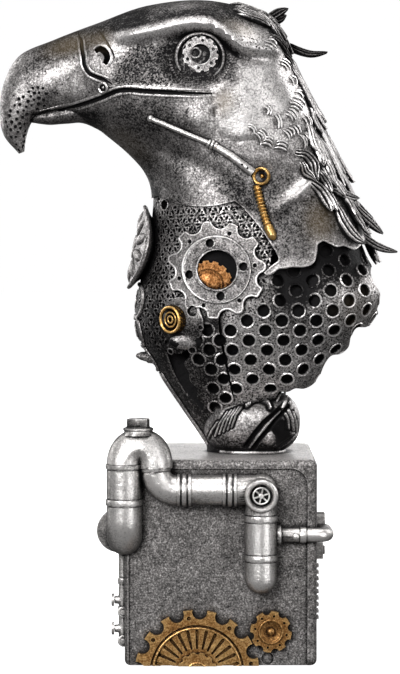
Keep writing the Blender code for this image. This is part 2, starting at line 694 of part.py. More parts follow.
def build_fittings():
    for side, tag in zip(SIDES, ("right", "left")):
        add("cheek_rod_" + tag, cheek_rod("cheek_rod_" + tag, side), model, STEEL)

        spring, ring = spring_strut("spring_strut_" + tag, side)
        strut = add(spring.name, spring, model, BRASS)
        combine(strut, add(ring.name, ring), "UNION")

        centre = (PLATE[0] - 2.4, PLATE[1] - 3.6)
        outline = scalloped(centre, 7.6, 10, 1.3, notch_out=0.3, tooth_points=1, notch_points=3)
        level = porthole_level(side) + side * (GAP + 0.9)
        gear = add("porthole_gear_" + tag, slab("porthole_gear_" + tag, [outline], 1.8,
                                                upright(level)), model, COPPER)
        well = drum((PLATE[0], level - 5, PLATE[1]), (0, 1, 0), PORTHOLE_RADIUS - GAP, 10.0, 16)
        combine(gear, add("well_" + tag, mesh_from("well_" + tag, well)), "INTERSECT")

        surface, normal = on_flank(*COPPER_RING, side)
        foot = surface - normal * (COPPER_SUNK - GAP)
        copper = add("copper_ring_" + tag, mesh_from("copper_ring_" + tag, drum(
            foot, normal, COPPER_RADIUS, 3.0, 12)), model, COPPER)
        dish = drum(foot + normal * 2.0, normal, COPPER_RADIUS - 1.4, 4.0, 12)
        combine(copper, add("dish_" + tag, mesh_from("dish_" + tag, dish)), "DIFFERENCE")
        boss = drum(foot + normal, normal, 1.9, 1.9, 6)
        combine(copper, add("boss_" + tag, mesh_from("boss_" + tag, boss)), "UNION")


# ---------------------------------------------------------------- plinth
def rounded_panel(left, right, low, high, corner):
    """A rounded rectangle in side view, anticlockwise."""
    outline = []
    for cx, cz, first in ((right - corner, high - corner, 0), (left + corner, high - corner, 1),
                          (left + corner, low + corner, 2), (right - corner, low + corner, 3)):
        for k in range(3):
            angle = (first + k / 2) * math.pi / 2
            outline.append((cx + corner * math.cos(angle), cz + corner * math.sin(angle)))
    return outline


def build_plinth():
    half = PLINTH_WIDTH / 2
    plinth = add("plinth", mesh_from("plinth", box((-half, -half, 0),
                                                   (half, half, PLINTH_HEIGHT))), model, PEWTER)
    rounding = plinth.modifiers.new("edges", "BEVEL")
    rounding.width = PLINTH_EDGE * MM
    rounding.segments = 1
    inner = half - PANEL_RIM
    for quarter in range(4):
        low = -20.0 if quarter == 0 else PANEL_RIM
        outline = rounded_panel(-inner, inner, low, PLINTH_HEIGHT - PANEL_RIM, PANEL_CORNER)
        turn = Matrix.Rotation(quarter * math.pi / 2, 4, "Z")
        name = f"panel_{quarter}"
        panel = add(name, slab(name, [outline], 2 * PANEL_DEPTH, turn @ upright(-half)))
        combine(plinth, panel, "DIFFERENCE")
    for name, mesh in pipe_pockets():
        combine(plinth, add(name, mesh), "DIFFERENCE")


# ---------------------------------------------------------------- pipes
def arc(centre, start, end, first, last, count=5):
    """Points of a round bend: start and end are the two half axes that span it."""
    angles = np.radians(np.linspace(first, last, count))
    return [Vector(centre) + Vector(start) * math.cos(a) + Vector(end) * math.sin(a)
            for a in angles]


def pipe_with_collars(name, path, radius, collars, taper=()):
    """A pipe along straight runs and bends. Each collar is a distance along the pipe."""
    path = [Vector(p) for p in path]
    travelled = [0.0]
    for a, b in zip(path[:-1], path[1:]):
        travelled.append(travelled[-1] + (b - a).length)
    marks = [(t, 1.0) for t in travelled]
    half, rise = COLLAR_WIDTH / 2, 1.0 + COLLAR_RISE / radius
    for at in collars:
        marks += [(at - half - 0.3, 1.0), (at - half, rise), (at + half, rise),
                  (at + half + 0.3, 1.0)]
    marks += [(travelled[-1] + step, share) for step, share in taper]
    marks.sort()
    points, swell = [], []
    for at, share in marks:
        k = min(max(int(np.searchsorted(travelled, at, side="right")) - 1, 0), len(path) - 2)
        run = (path[k + 1] - path[k]).normalized()
        points.append(path[k] + run * (at - travelled[k]))
        swell.append(share)
    return name, tube(name, points, radius, swell)


def round_end(radius):
    """Further points past a pipe's end, with their share of its radius: a half ball."""
    return [(radius * math.sin(math.radians(a)), math.cos(math.radians(a))) for a in (30, 55, 78)]


def pipe_runs():
    """Name, path, radius, collars and end of each length of the front pipe."""
    y, bend = PIPE_Y, 10.0
    left = [(PIPE_LEFT, y + 30, 62), *arc((PIPE_LEFT, y + 10, 72), (0, 0, -10), (0, -10, 0),
                                          10, 90, 4), (PIPE_LEFT, y, PIPE_SHOULDER + 3)]
    cross = [(PIPE_RIGHT, y, PIPE_SHOULDER + 3),
             *arc((PIPE_RIGHT + bend, y, CROSS_LEVEL + bend), (-bend, 0, 0), (0, 0, -bend),
                  5, 88, 4), (DROP_X, y, CROSS_LEVEL)]
    drop = [(DROP_X, y, CROSS_LEVEL + 1), (DROP_X, y, DROP_END + DROP_RADIUS)]
    return (("left", left, PIPE_RADIUS, (46.0, 63.0), ()),
            ("cross", cross, CROSS_RADIUS, (28.0, 50.0), ()),
            ("drop", drop, DROP_RADIUS, (15.0, 33.0), round_end(DROP_RADIUS)),
            ("branch", branch_path(), BRANCH_RADIUS, (8.0,), ()))


def branch_path():
    """The thin branch: out of the drop pipe, round the corner and into the right face."""
    y, bend = FRONT - 2.4, 4.6
    x = -FRONT + bend
    return [(DROP_X + 2, y, BRANCH_LEVEL),
            *arc((x - bend, y + bend, BRANCH_LEVEL), (0, -bend, 0), (bend, 0, 0), 5, 85, 4),
            (x, y + 16, BRANCH_LEVEL), (x - 6, y + 22, BRANCH_LEVEL)]


def lengthened(path, start, end):
    """A path whose first and last runs are made longer."""
    path = [Vector(p) for p in path]
    path[0] += (path[0] - path[1]).normalized() * start
    path[-1] += (path[-1] - path[-2]).normalized() * end
    return path


def pipe_pockets():
    """Channels of the plinth in which the pipes lie."""
    room = COLLAR_RISE + GAP
    pockets = []
    for tag, path, radius, _, end in pipe_runs():
        longer = lengthened(path, 2 * GAP, radius + room if end else 2 * GAP)
        pockets.append(tube("pocket_" + tag, longer, radius + room))
    solids = {
        "pocket_valve": drum((DROP_X, PIPE_Y + 8, VALVE_LEVEL), (0, -1, 0), VALVE_RADIUS + room,
                             9, 12),
        "pocket_flange": drum(Vector(FLANGE) - Vector((0, GAP, 0)), (0, 1, 0),
                              FLANGE_RADIUS + GAP, FLANGE_THICKNESS + 2 * GAP, 12),
        "pocket_dome": half_ball((DOME_X, PIPE_Y, PIPE_SHOULDER - GAP),
                                 [size + 2 * GAP for size in DOME_SIZE], 12, 6),
    }
    pockets += [mesh_from(name, solid) for name, solid in solids.items()]
    return [(mesh.name, mesh) for mesh in pockets]


def pipe_parts():
    """The front pipe: U bend, cross pipe, valve, drop pipe and branch."""
    cap_x = DOME_X - 0.6
    solids = {
        "run_dome": half_ball((DOME_X, PIPE_Y, PIPE_SHOULDER), DOME_SIZE, 12, 6),
        "run_cap": drum((cap_x, PIPE_Y, PIPE_SHOULDER + 12.5), (0, 0, 1), 8.4, 6.4, 12, top=8.0),
        "run_nut": drum((cap_x, PIPE_Y, PIPE_SHOULDER + 18), (0, 0, 1), 5.8, 5.2, 6),
        "run_valve": drum((DROP_X, PIPE_Y + 4, VALVE_LEVEL), (0, -1, 0), VALVE_RADIUS, 14.0, 14),
        "run_flange": drum(FLANGE, (0, 1, 0), FLANGE_RADIUS, FLANGE_THICKNESS, 12),
    }
    parts = [pipe_with_collars("run_" + tag, path, radius, collars, end)
             for tag, path, radius, collars, end in pipe_runs()]
    return parts + [(name, mesh_from(name, solid)) for name, solid in solids.items()]


def side_pipe_parts():
    """The thin standing pipe on the left face, with two small valves."""
    ends = ((STAND_LOW, 0.5), (STAND_LOW + 1.5, 1.0), (STAND_HIGH - 1.5, 1.0), (STAND_HIGH, 0.5))
    stand = tube("stand", [(STAND_X, STAND_Y, z) for z, _ in ends], STAND_RADIUS,
                 [share for _, share in ends])
    parts = [("stand", stand)]
    for level in STAND_VALVES:
        name = f"stand_valve_{level:.0f}"
        knob = drum((STAND_X - 1, STAND_Y, level), (-1, 0, 0), 3.0, 6.0, 8, top=1.8)
        stem = drum((STAND_X - 0.5, STAND_Y, level - 5.5), (0, -1, 0), 2.6, 5.0, 8)
        parts.append((name, mesh_from(name, join(knob, stem))))
    return parts


def fuse(name, parts, material):
    """One named piece from overlapping parts."""
    piece = add(name, parts[0][1], model, material)
    for part_name, mesh in parts[1:]:
        combine(piece, add(part_name, mesh), "UNION").use_self = True
    return piece


def build_pipes():
    run = fuse("pipe_run", pipe_parts(), STEEL)
    dish = drum((DROP_X, PIPE_Y - 8.2, VALVE_LEVEL), (0, -1, 0), VALVE_DISH, 6.0, 14)
    combine(run, add("valve_dish", mesh_from("valve_dish", dish)), "DIFFERENCE")
    hub = drum((DROP_X, PIPE_Y - 7, VALVE_LEVEL), (0, -1, 0), 1.6, 2.4, 6)
    combine(run, add("valve_hub", mesh_from("valve_hub", hub)), "UNION")
    fuse("side_pipe", side_pipe_parts(), STEEL)


def build_side_rack():
    """A toothed strip with a block and a round knob, standing on the right face."""
    back = -FRONT - PANEL_DEPTH + GAP
    outline = [(back, RACK_LOW)]
    for i in range(RACK_TEETH):
        z = RACK_LOW + i * RACK_PITCH
        outline += [(back + RACK_DEPTH, z), (back + RACK_DEPTH + 1.0, z + 1.2),
                    (back + RACK_DEPTH + 1.0, z + 2.8), (back + RACK_DEPTH, z + 4.0)]
    outline += [(back + RACK_DEPTH, RACK_KNOB), (back, RACK_KNOB)]
    rack = add("side_rack", slab("side_rack", [outline], RACK_WIDTH, upright(RACK_Y)), model,
               STEEL)
    extras = join(box((back, RACK_Y - 3.6, 48.5), (back + 5.6, RACK_Y + 3.6, 56.8)),
                  drum((back, RACK_Y, RACK_KNOB), (1, 0, 0), 4.2, 6.6, 12))
    combine(rack, add("rack_extras", mesh_from("rack_extras", extras)), "UNION")


# ---------------------------------------------------------------- gears of the front
def build_gears():
    back = PANEL - GAP
    face = back - GEAR_THICKNESS
    outline = [(x, z) for x, z in scalloped(HALF_GEAR, HALF_GEAR_RADIUS, HALF_GEAR_TEETH, 3.1,
                                            math.pi / HALF_GEAR_TEETH, notch_out=0.6,
                                            tooth_points=1, notch_points=4) if z > GEAR_FOOT]
    outline += [(HALF_GEAR[0] - HALF_GEAR_RADIUS + 0.5, GEAR_FOOT),
                (HALF_GEAR[0] + HALF_GEAR_RADIUS - 0.5, GEAR_FOOT)]
    rim = slab("half_gear", [outline], GEAR_THICKNESS, upright(back - GEAR_THICKNESS / 2))
    gear = add("half_gear", rim, model, BRONZE)
    dish = drum((HALF_GEAR[0], face + 1.0, HALF_GEAR[1]), (0, -1, 0), 21.6, 4.0, 32)
    combine(gear, add("gear_dish", mesh_from("gear_dish", dish)), "DIFFERENCE")
    slots = []
    for a in np.radians(np.arange(18, 180, 18)):
        radial = Vector((math.cos(a), 0, math.sin(a)))
        middle = Vector((HALF_GEAR[0], face, HALF_GEAR[1])) + radial * 16.0
        slots.append(slot_cutter(frame_at(middle, radial, (0, 1, 0))))
    combine(gear, add("gear_slots", mesh_from("gear_slots", join(*slots))), "DIFFERENCE")

    outline = scalloped(SMALL_GEAR, SMALL_GEAR_RADIUS, 8, 2.3, math.pi / 8, notch_out=0.5,
                        tooth_points=1, notch_points=4)
    pinion = add("small_gear", slab("small_gear", [outline], GEAR_THICKNESS,
                                    upright(back - GEAR_THICKNESS / 2)), model, BRONZE)
    dish = drum((SMALL_GEAR[0], face + 1.0, SMALL_GEAR[1]), (0, -1, 0), 5.2, 4.0, 14)
    combine(pinion, add("pinion_dish", mesh_from("pinion_dish", dish)), "DIFFERENCE")
    dome = ball((SMALL_GEAR[0], face + 1.0, SMALL_GEAR[1]), (2.2, 1.6, 2.2), 8, 4)
    combine(pinion, add("pinion_dome", mesh_from("pinion_dome", dome)), "UNION")


def slot_cutter(matrix):
    """A long narrow cutter, its length along the matrix's Z axis."""
    def build(bm):
        made = bmesh.ops.create_cube(bm, size=1.0)
        bmesh.ops.scale(bm, vec=(1.1, 3.6, 7.6), verts=made["verts"])
        placed(bm, made["verts"], matrix)
    return build


bird_object = build_bird()
cut_bird(bird_object)
build_fittings()
build_plinth()
build_pipes()
build_side_rack()
build_gears()
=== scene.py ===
"""Looks of the bird of prey bust: fine surfaces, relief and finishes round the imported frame.

Helper code works in millimetres and side views (x, z); meshes are scaled to metres when made.
"""

import math

import bmesh
import bpy
import numpy as np
from mathutils import Matrix, Vector
from mathutils.bvhtree import BVHTree


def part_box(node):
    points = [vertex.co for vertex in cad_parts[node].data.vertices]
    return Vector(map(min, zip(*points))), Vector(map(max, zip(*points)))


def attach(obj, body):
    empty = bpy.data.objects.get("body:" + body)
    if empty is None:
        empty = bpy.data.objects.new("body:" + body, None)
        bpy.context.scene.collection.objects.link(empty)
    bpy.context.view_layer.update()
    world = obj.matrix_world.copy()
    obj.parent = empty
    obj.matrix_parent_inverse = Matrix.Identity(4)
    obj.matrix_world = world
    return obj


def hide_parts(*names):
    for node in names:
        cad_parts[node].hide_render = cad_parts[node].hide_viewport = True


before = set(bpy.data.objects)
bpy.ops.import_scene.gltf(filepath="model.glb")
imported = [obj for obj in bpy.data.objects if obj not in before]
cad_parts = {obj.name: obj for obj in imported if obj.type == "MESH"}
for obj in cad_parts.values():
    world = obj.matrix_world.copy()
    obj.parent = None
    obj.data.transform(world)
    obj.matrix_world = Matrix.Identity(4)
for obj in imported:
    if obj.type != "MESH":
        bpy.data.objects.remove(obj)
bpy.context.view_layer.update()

MM = 0.001
SIDES = (-1, 1)        # the right flank faces -Y, towards the camera
TAU = 2 * math.pi
FAR = 200.0            # farther out to any side than the object reaches
UP = (0, 0, 1)
NEAR = (0, -1, 0)      # out of the right flank and out of the plinth's front


def place_of(node):
    """Lowest corner, highest corner and middle of a CAD node, in millimetres."""
    low, high = (np.array(corner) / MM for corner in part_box(node))
    return low, high, (low + high) / 2


# ---------------------------------------------------------------- raw meshes: (vertices, faces)
def merged(*raws):
    """Several raw meshes as one."""
    verts, faces, start = [], [], 0
    for v, f in raws:
        verts.append(np.asarray(v, float).reshape(-1, 3))
        faces += [tuple(i + start for i in face) for face in f]
        start += len(verts[-1])
    return np.vstack(verts), faces


def spread(count):
    """Angles spread evenly over a full turn."""
    return np.arange(count) * TAU / count


def heading(angle):
    """The direction at an angle, one long."""
    return np.array((math.cos(angle), math.sin(angle)))


def left_of(along):
    """A side view direction turned left by a quarter."""
    return np.array((-along[1], along[0]))


def unit(vectors):
    """One vector or a list of them, each made one long."""
    vectors = np.asarray(vectors, float)
    if vectors.ndim == 1:
        return vectors / np.linalg.norm(vectors)
    return vectors / np.linalg.norm(vectors, axis=1)[:, None]


def travel(path):
    """Distance from the start of a path to each of its points."""
    return np.concatenate([[0], np.cumsum(np.linalg.norm(np.diff(path, axis=0), axis=1))])


def frame_at(origin, towards):
    """A matrix whose Z axis points along towards and whose Y axis is near straight up."""
    z = Vector(towards).normalized()
    x = Vector(UP).cross(z)
    if x.length < 1e-6:
        x = Vector((1, 0, 0))
    x.normalize()
    y = z.cross(x)
    return Matrix.Translation(Vector(origin)) @ Matrix((x, y, z)).transposed().to_4x4()


def moved(raw, matrix):
    m = np.array(matrix)
    v = np.asarray(raw[0], float) @ m[:3, :3].T + m[:3, 3]
    return v, raw[1]


def ring_faces(rows, sides, wrap_rows=False):
    """Quads between successive rings of a grid."""
    faces = []
    for r in range(rows if wrap_rows else rows - 1):
        a, b = r * sides, (r + 1) % rows * sides
        faces += [(a + i, a + (i + 1) % sides, b + (i + 1) % sides, b + i) for i in range(sides)]
    return faces


def closed_faces(rows, sides):
    """Quads between the rings of a grid and a cap at either end."""
    return [*ring_faces(rows, sides), tuple(range(sides))[::-1],
            tuple((rows - 1) * sides + i for i in range(sides))]


def turned(profile, matrix=Matrix(), sides=32, loop=False):
    """A profile of (radius, height) turned about Z: a solid with capped ends, or a ring."""
    profile = np.asarray(profile, float)
    angle = spread(sides)
    r, h = profile[:, :1], profile[:, 1:]
    verts = np.stack([r * np.cos(angle), r * np.sin(angle), h + 0 * angle], axis=2).reshape(-1, 3)
    faces = ring_faces(len(profile), sides, True) if loop else closed_faces(len(profile), sides)
    return moved((verts, faces), matrix)


def drum(origin, towards, radius, length, sides=32, edge=0.0, top=None):
    """A cylinder or cone from origin along towards, its far rim rounded off by edge."""
    top = radius if top is None else top
    profile = [(radius, 0)]
    if edge:
        profile += [(top - edge * (1 - math.cos(a)), length - edge * (1 - math.sin(a)))
                    for a in (0, math.pi / 4, math.pi / 2)]
    else:
        profile.append((top, length))
    return turned(profile, frame_at(origin, towards), sides)


def torus(origin, towards, radius, wire, sides=48, wire_sides=10, squash=1.0):
    a = spread(wire_sides)
    profile = np.stack([radius + wire * np.cos(a), wire * squash * np.sin(a)], axis=1)
    return turned(profile, frame_at(origin, towards), sides, loop=True)


def ball(centre, size, sides=20, rings=12):
    size = np.broadcast_to(np.asarray(size, float), 3)
    a = np.linspace(0, math.pi, rings + 1)[1:-1]
    profile = np.stack([np.sin(a), -np.cos(a)], axis=1)
    verts, faces = turned(profile, sides=sides)
    return verts * size + np.asarray(centre, float), faces


def block(low, high):
    (x0, y0, z0), (x1, y1, z1) = low, high
    verts = [(x, y, z) for x in (x0, x1) for y in (y0, y1) for z in (z0, z1)]
    return np.array(verts, float), [(0, 1, 3, 2), (4, 6, 7, 5), (0, 4, 5, 1), (2, 3, 7, 6),
                                    (0, 2, 6, 4), (1, 5, 7, 3)]


def prism(outline, low, high, matrix=Matrix()):
    """A flat outline in the matrix's XY plane, closed from low to high along Z."""
    outline = np.asarray(outline, float)
    n = len(outline)
    verts = np.vstack([np.c_[outline, np.full(n, low)], np.c_[outline, np.full(n, high)]])
    area = np.cross(outline, np.roll(outline, -1, axis=0)).sum()
    faces = [tuple(range(n))[::-1], tuple(range(n, 2 * n))]
    faces += [(i, (i + 1) % n, n + (i + 1) % n, n + i) for i in range(n)]
    if area < 0:
        faces = [face[::-1] for face in faces]
    return moved((verts, faces), matrix)


def smooth(points, step=1.0, closed=False):
    """A Catmull-Rom curve through the points, sampled about every step."""
    p = np.asarray(points, float)
    ends = (p[-1], p[0], p[1]) if closed else (2 * p[0] - p[1], None, 2 * p[-1] - p[-2])
    body = np.vstack([p, p[:1]]) if closed else p
    padded = np.vstack([ends[0], body, ends[2]])
    out = []
    for k in range(len(body) - 1):
        a, b, c, d = padded[k:k + 4]
        count = max(1, int(round(np.linalg.norm(c - b) / step)))
        t = (np.arange(count) / count)[:, None]
        out.append(0.5 * (2 * b + (c - a) * t + (2 * a - 5 * b + 4 * c - d) * t ** 2
                          + (3 * b - a - 3 * c + d) * t ** 3))
    if not closed:
        out.append(body[-1:])
    return np.vstack(out)


def tube(path, radius, sides=12, closed=False, flat=1.0, normals=None):
    """A bar along a path. Radius is a number or one per point; flat squeezes it along normals."""
    path = np.asarray(path, float)
    radius = np.broadcast_to(np.asarray(radius, float), len(path))
    run = unit(np.roll(path, -1, 0) - np.roll(path, 1, 0) if closed
               else np.gradient(path, axis=0))
    if normals is None:
        side = np.cross(run[0], (0.31, 0.86, 0.41))
        normals = []
        for direction in run:
            side = unit(side - direction * (side @ direction))
            normals.append(side)
    n = np.asarray(normals, float)
    n = unit(n - run * np.sum(n * run, axis=1)[:, None])
    b = np.cross(run, n)
    a = spread(sides)
    verts = path[:, None] + radius[:, None, None] * (n[:, None] * (np.cos(a) * flat)[:, None]
                                                     + b[:, None] * np.sin(a)[:, None])
    faces = ring_faces(len(path), sides, True) if closed else closed_faces(len(path), sides)
    return verts.reshape(-1, 3), faces


def tapered(count, start, end, share=0.25):
    """Factors along a bar that thins out to both ends, each over a share of its length."""
    t = np.linspace(0, 1, count)
    rise, fall = (np.sin(np.clip(s / share, 0, 1) * math.pi / 2) for s in (t, 1 - t))
    return (start + (1 - start) * rise) * (end + (1 - end) * fall)


# ---------------------------------------------------------------- objects
def linked(name, data):
    """A new object in the scene."""
    thing = bpy.data.objects.new(name, data)
    bpy.context.scene.collection.objects.link(thing)
    return thing


def temporary(raw, name="tool"):
    """An object from a raw mesh."""
    mesh = bpy.data.meshes.new(name)
    mesh.from_pydata((np.asarray(raw[0]) * MM).tolist(), [], raw[1])
    mesh.validate()
    return linked(name, mesh)


def settle(thing):
    """Applies an object's modifiers."""
    graph = bpy.context.evaluated_depsgraph_get()
    mesh = bpy.data.meshes.new_from_object(thing.evaluated_get(graph))
    thing.modifiers.clear()
    thing.data = mesh
    return thing


def boolean(thing, operation, tool):
    """Unites an object with another one or cuts it by that, which is used up."""
    step = thing.modifiers.new("step", "BOOLEAN")
    step.object = tool
    step.operation = operation
    step.solver = "MANIFOLD"
    settle(thing)
    bpy.data.objects.remove(tool, do_unlink=True)
    return thing


def add(thing, *raws):
    """Unites an object with raw solids at one go."""
    return boolean(thing, "UNION", temporary(merged(*raws)))


def add_each(thing, raws):
    """Unites an object with raw solids that may overlap, one after the other."""
    for raw in raws:
        add(thing, raw)
    return thing


def united(name, first, *raws):
    """One object from raw solids that overlap."""
    return add_each(temporary(first, name), raws)


def cut(thing, *raws):
    """Cuts raw solids out of an object."""
    return boolean(thing, "DIFFERENCE", temporary(merged(*raws)))


def within(thing, raw):
    """Keeps what lies inside a raw solid."""
    return boolean(thing, "INTERSECT", temporary(merged(raw)))


BEVEL_REACH, FINAL_REACH = 2e-5, 1e-6     # metres


def cleaned(thing, reach):
    """Joins points closer than reach and takes out faces without area."""
    mesh = bmesh.new()
    mesh.from_mesh(thing.data)
    bmesh.ops.remove_doubles(mesh, verts=mesh.verts, dist=reach)
    bmesh.ops.dissolve_degenerate(mesh, edges=mesh.edges, dist=reach)
    bmesh.ops.delete(mesh, geom=[v for v in mesh.verts if not v.link_faces], context="VERTS")
    bmesh.ops.holes_fill(mesh, edges=[e for e in mesh.edges if e.is_boundary], sides=0)
    mesh.to_mesh(thing.data)
    mesh.free()
    return thing


def softened(thing, width, segments=2, angle=35):
    """Rounds an object's sharp edges."""
    cleaned(thing, BEVEL_REACH)
    step = thing.modifiers.new("edges", "BEVEL")
    step.width = width * MM
    step.segments = segments
    step.limit_method = "ANGLE"
    step.angle_limit = math.radians(angle)
    step.use_clamp_overlap = True
    return settle(thing)


def dress(thing, name, material, angle=40):
    """Names a piece, finishes it and lets it ride on the frame."""
    thing.name = name
    thing.data.name = name
    thing.data.materials.clear()
    thing.data.materials.append(material)
    cleaned(thing, FINAL_REACH)
    thing.data.shade_smooth()
    thing.data.set_sharp_from_angle(angle=math.radians(angle))
    step = thing.modifiers.new("normals", "WEIGHTED_NORMAL")
    step.keep_sharp = True
    settle(thing)
    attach(thing, "root")
    return thing


def upright(y=0.0):
    """A frame whose XY plane is the side view, x and z, at depth y; its Z axis points along -Y."""
    return Matrix.Translation((0, y, 0)) @ Matrix.Rotation(math.pi / 2, 4, "X")


def circle(centre, radius, count=24, start=0.0):
    a = spread(count) + start
    return np.stack([centre[0] + radius * np.cos(a), centre[1] + radius * np.sin(a)], axis=1)


def polar(centre, radius, angle):
    """A point round a side view centre."""
    return centre[0] + radius * math.cos(angle), centre[1] + radius * math.sin(angle)


def notched(centre, radius, notches, notch_radius, start, out, points, crest):
    """A disc with round notches in its rim, as in a sprocket. The notches' centres lie out of
    the rim by out; points and crest count the corners of a notch and the steps of a tooth."""
    reach = radius + out
    half = math.acos((radius ** 2 + reach ** 2 - notch_radius ** 2) / (2 * radius * reach))
    pitch = TAU / notches
    outline = []
    for i in range(notches):
        middle = start + i * pitch
        c = reach * heading(middle)
        ends = [math.atan2(radius * math.sin(middle + s * half) - c[1],
                           radius * math.cos(middle + s * half) - c[0]) for s in (-1, 1)]
        sweep = (ends[0] - ends[1]) % TAU
        for a in ends[0] - sweep * np.linspace(0, 1, points):
            outline.append(c + notch_radius * heading(a))
        for a in middle + half + (pitch - 2 * half) * np.arange(1, crest) / crest:
            outline.append(radius * heading(a))
    return np.array(outline) + np.asarray(centre, float)


# ---------------------------------------------------------------- the bird's body
# Ribs from the tip of the beak to the foot, in the solid's own sizes: outer x, z and inner x, z
# on the median plane, half width, place of the widest point, fullness.
RIBS = np.array((
    (-99.7, 247.8, -97.0, 248.9, 1.4, 0.50, 2.0),
    (-107.1, 256.7, -96.0, 256.0, 4.6, 0.55, 2.0),
    (-109.0, 267.1, -93.6, 262.8, 7.0, 0.58, 2.1),
    (-107.5, 281.4, -89.6, 266.3, 8.8, 0.60, 2.2),
    (-99.5, 296.0, -82.5, 268.0, 10.8, 0.60, 2.3),
    (-82.2, 304.0, -74.0, 267.6, 13.6, 0.58, 2.4),
    (-60.4, 312.2, -63.5, 262.0, 20.0, 0.54, 2.5),
    (-34.7, 320.8, -55.1, 255.7, 27.5, 0.46, 2.5),
    (-3.6, 322.7, -45.7, 247.8, 33.5, 0.42, 2.4),
    (24.6, 312.9, -37.8, 238.9, 34.0, 0.42, 2.3),
    (37.0, 288.3, -34.3, 229.5, 33.5, 0.44, 2.2),
    (50.4, 258.7, -34.6, 217.1, 34.5, 0.44, 2.2),
    (63.4, 229.0, -37.0, 199.2, 37.0, 0.43, 2.2),
    (74.4, 200.2, -42.0, 177.4, 40.0, 0.42, 2.2),
    (80.0, 175.4, -41.8, 158.5, 40.5, 0.42, 2.2),
    (64.6, 153.0, -30.9, 139.0, 33.0, 0.44, 2.2),
    (38.8, 130.5, -17.0, 118.1, 21.0, 0.48, 2.1),
    (17.0, 111.0, -8.5, 105.0, 12.0, 0.50, 2.1),
    (12.0, 98.0, -7.4, 98.0, 9.5, 0.50, 2.1),
))
LAST_RIB = len(RIBS) - 1
HEAD_END, MANTLE_START = 14.0, 9.0        # rib numbers

BROW = ((-60.0, 300.5), (-46.2, 303.2), (-34.2, 305.4), (-22.1, 308.3), (-12.0, 309.4),
        (-4.6, 308.4), (2.2, 304.3), (6.5, 300.4), (9.5, 298.6), (13.0, 297.8), (20.0, 297.2),
        (30.0, 296.0))
EYE = (-10.0, 296.4)
SOCKET = (-11.0, 294.0, 18.5, 14.0)     # centre x, z, half length, half height
SOCKET_DEPTH = 5.0
MOUTH = ((-90.0, 266.8), (-83.2, 268.4), (-77.3, 269.7), (-71.0, 270.9), (-63.7, 272.9),
         (-57.0, 275.1), (-52.3, 277.1), (-48.0, 278.2), (-43.0, 278.2), (-34.4, 277.4),
         (-19.8, 276.7), (-4.1, 276.2))
MANDIBLE = ((-93.6, 264.9), (-90.5, 265.6), (-84.5, 266.0), (-76.0, 267.2), (-68.0, 267.8),
            (-60.0, 264.8), (-52.0, 259.0))
MANDIBLE_RADIUS = (1.9, 3.0, 4.0, 4.6, 4.9, 4.8, 4.0)
CERE = ((-70.0, 307.0), (-68.2, 303.0), (-67.6, 299.0), (-66.8, 294.5), (-66.3, 290.6),
        (-63.9, 286.7), (-60.0, 284.7), (-56.0, 283.2), (-52.5, 281.0))
CERE_BACK = ((-59.8, 308.5), (-56.4, 303.1), (-53.0, 297.3), (-51.1, 292.4))
NOSTRIL = ((-61.0, 296.9), (-58.2, 298.2), (-55.6, 296.3), (-54.8, 293.4), (-56.2, 290.8))
RIVET = (-57.0, 279.6)
FOLD = ((-3.3, 267.5), (-2.5, 256.5), (6.0, 252.6), (16.0, 253.5), (26.0, 250.3), (36.0, 246.5))
TENDON = ((52.0, 240.0), (41.0, 232.5), (33.0, 225.0), (26.5, 219.5))
COLLAR_EDGE = ((-150.0, 232.0), (-34.2, 225.6), (-30.3, 227.0), (-23.5, 224.1), (-14.8, 222.2),
               (-4.2, 222.2), (6.9, 224.6))
LAPPET_EDGE = ((6.9, 224.6), (13.1, 219.3), (19.9, 211.1), (24.7, 203.9), (28.6, 196.6),
               (24.4, 192.6), (21.2, 189.8))
TORN_EDGE = ((21.2, 189.8), (22.8, 189.3), (25.0, 190.2), (27.6, 192.3), (31.0, 192.6),
             (34.3, 193.3), (40.1, 193.3), (44.5, 195.2), (45.9, 200.1), (46.4, 203.9),
             (49.7, 205.8), (53.1, 204.4), (56.5, 202.9), (59.9, 203.4), (63.2, 202.0),
             (66.1, 201.5), (70.7, 205.5), (74.1, 206.5))

# Groups of short strokes: side view centre, direction in degrees, half length, strokes.
CURLS = ((19.5, 255.6, -60, 3.8, 4), (22.8, 252.6, -20, 3.2, 3), (29.5, 250.8, -15, 3.8, 3),
         (41.5, 254.0, -70, 4.0, 4), (37.0, 271.0, -30, 3.8, 4), (27.5, 263.0, -75, 4.6, 2),
         (34.0, 266.0, -45, 3.6, 3), (33.0, 257.0, -55, 3.2, 3), (39.0, 277.0, -40, 3.0, 3),
         (24.5, 300.5, -30, 3.4, 4), (31.5, 290.5, -40, 3.2, 3), (42.0, 263.0, -70, 3.6, 3),
         (22.5, 268.0, -80, 3.0, 2), (37.0, 259.0, -60, 3.0, 2), (15.0, 259.0, -50, 2.6, 2),
         (35.0, 283.0, -60, 2.8, 2), (45.5, 262.0, -65, 2.8, 2))


def step_up(value, low, high):
    """0 below low, 1 above high, smooth between."""
    t = np.clip((value - low) / (high - low), 0, 1)
    return t * t * (3 - 2 * t)


def step_down(value, low, high):
    """1 below low, 0 above high, smooth between."""
    return 1 - step_up(value, low, high)


def bump(distance, reach):
    """1 on a line, falling off smoothly within about reach."""
    return np.exp(-(distance / reach) ** 2)


def blend_rows(rows, place):
    """Catmull-Rom interpolation of a table's rows at fractional row numbers."""
    padded = np.vstack([2 * rows[0] - rows[1], rows, 2 * rows[-1] - rows[-2]])
    place = np.clip(np.asarray(place, float), 0, len(rows) - 1)
    low = np.minimum(place.astype(int), len(rows) - 2)
    t = (place - low)[:, None]
    a, b, c, d = (padded[low + k] for k in range(4))
    return 0.5 * (2 * b + (c - a) * t + (2 * a - 5 * b + 4 * c - d) * t ** 2
                  + (3 * b - a - 3 * c + d) * t ** 3)


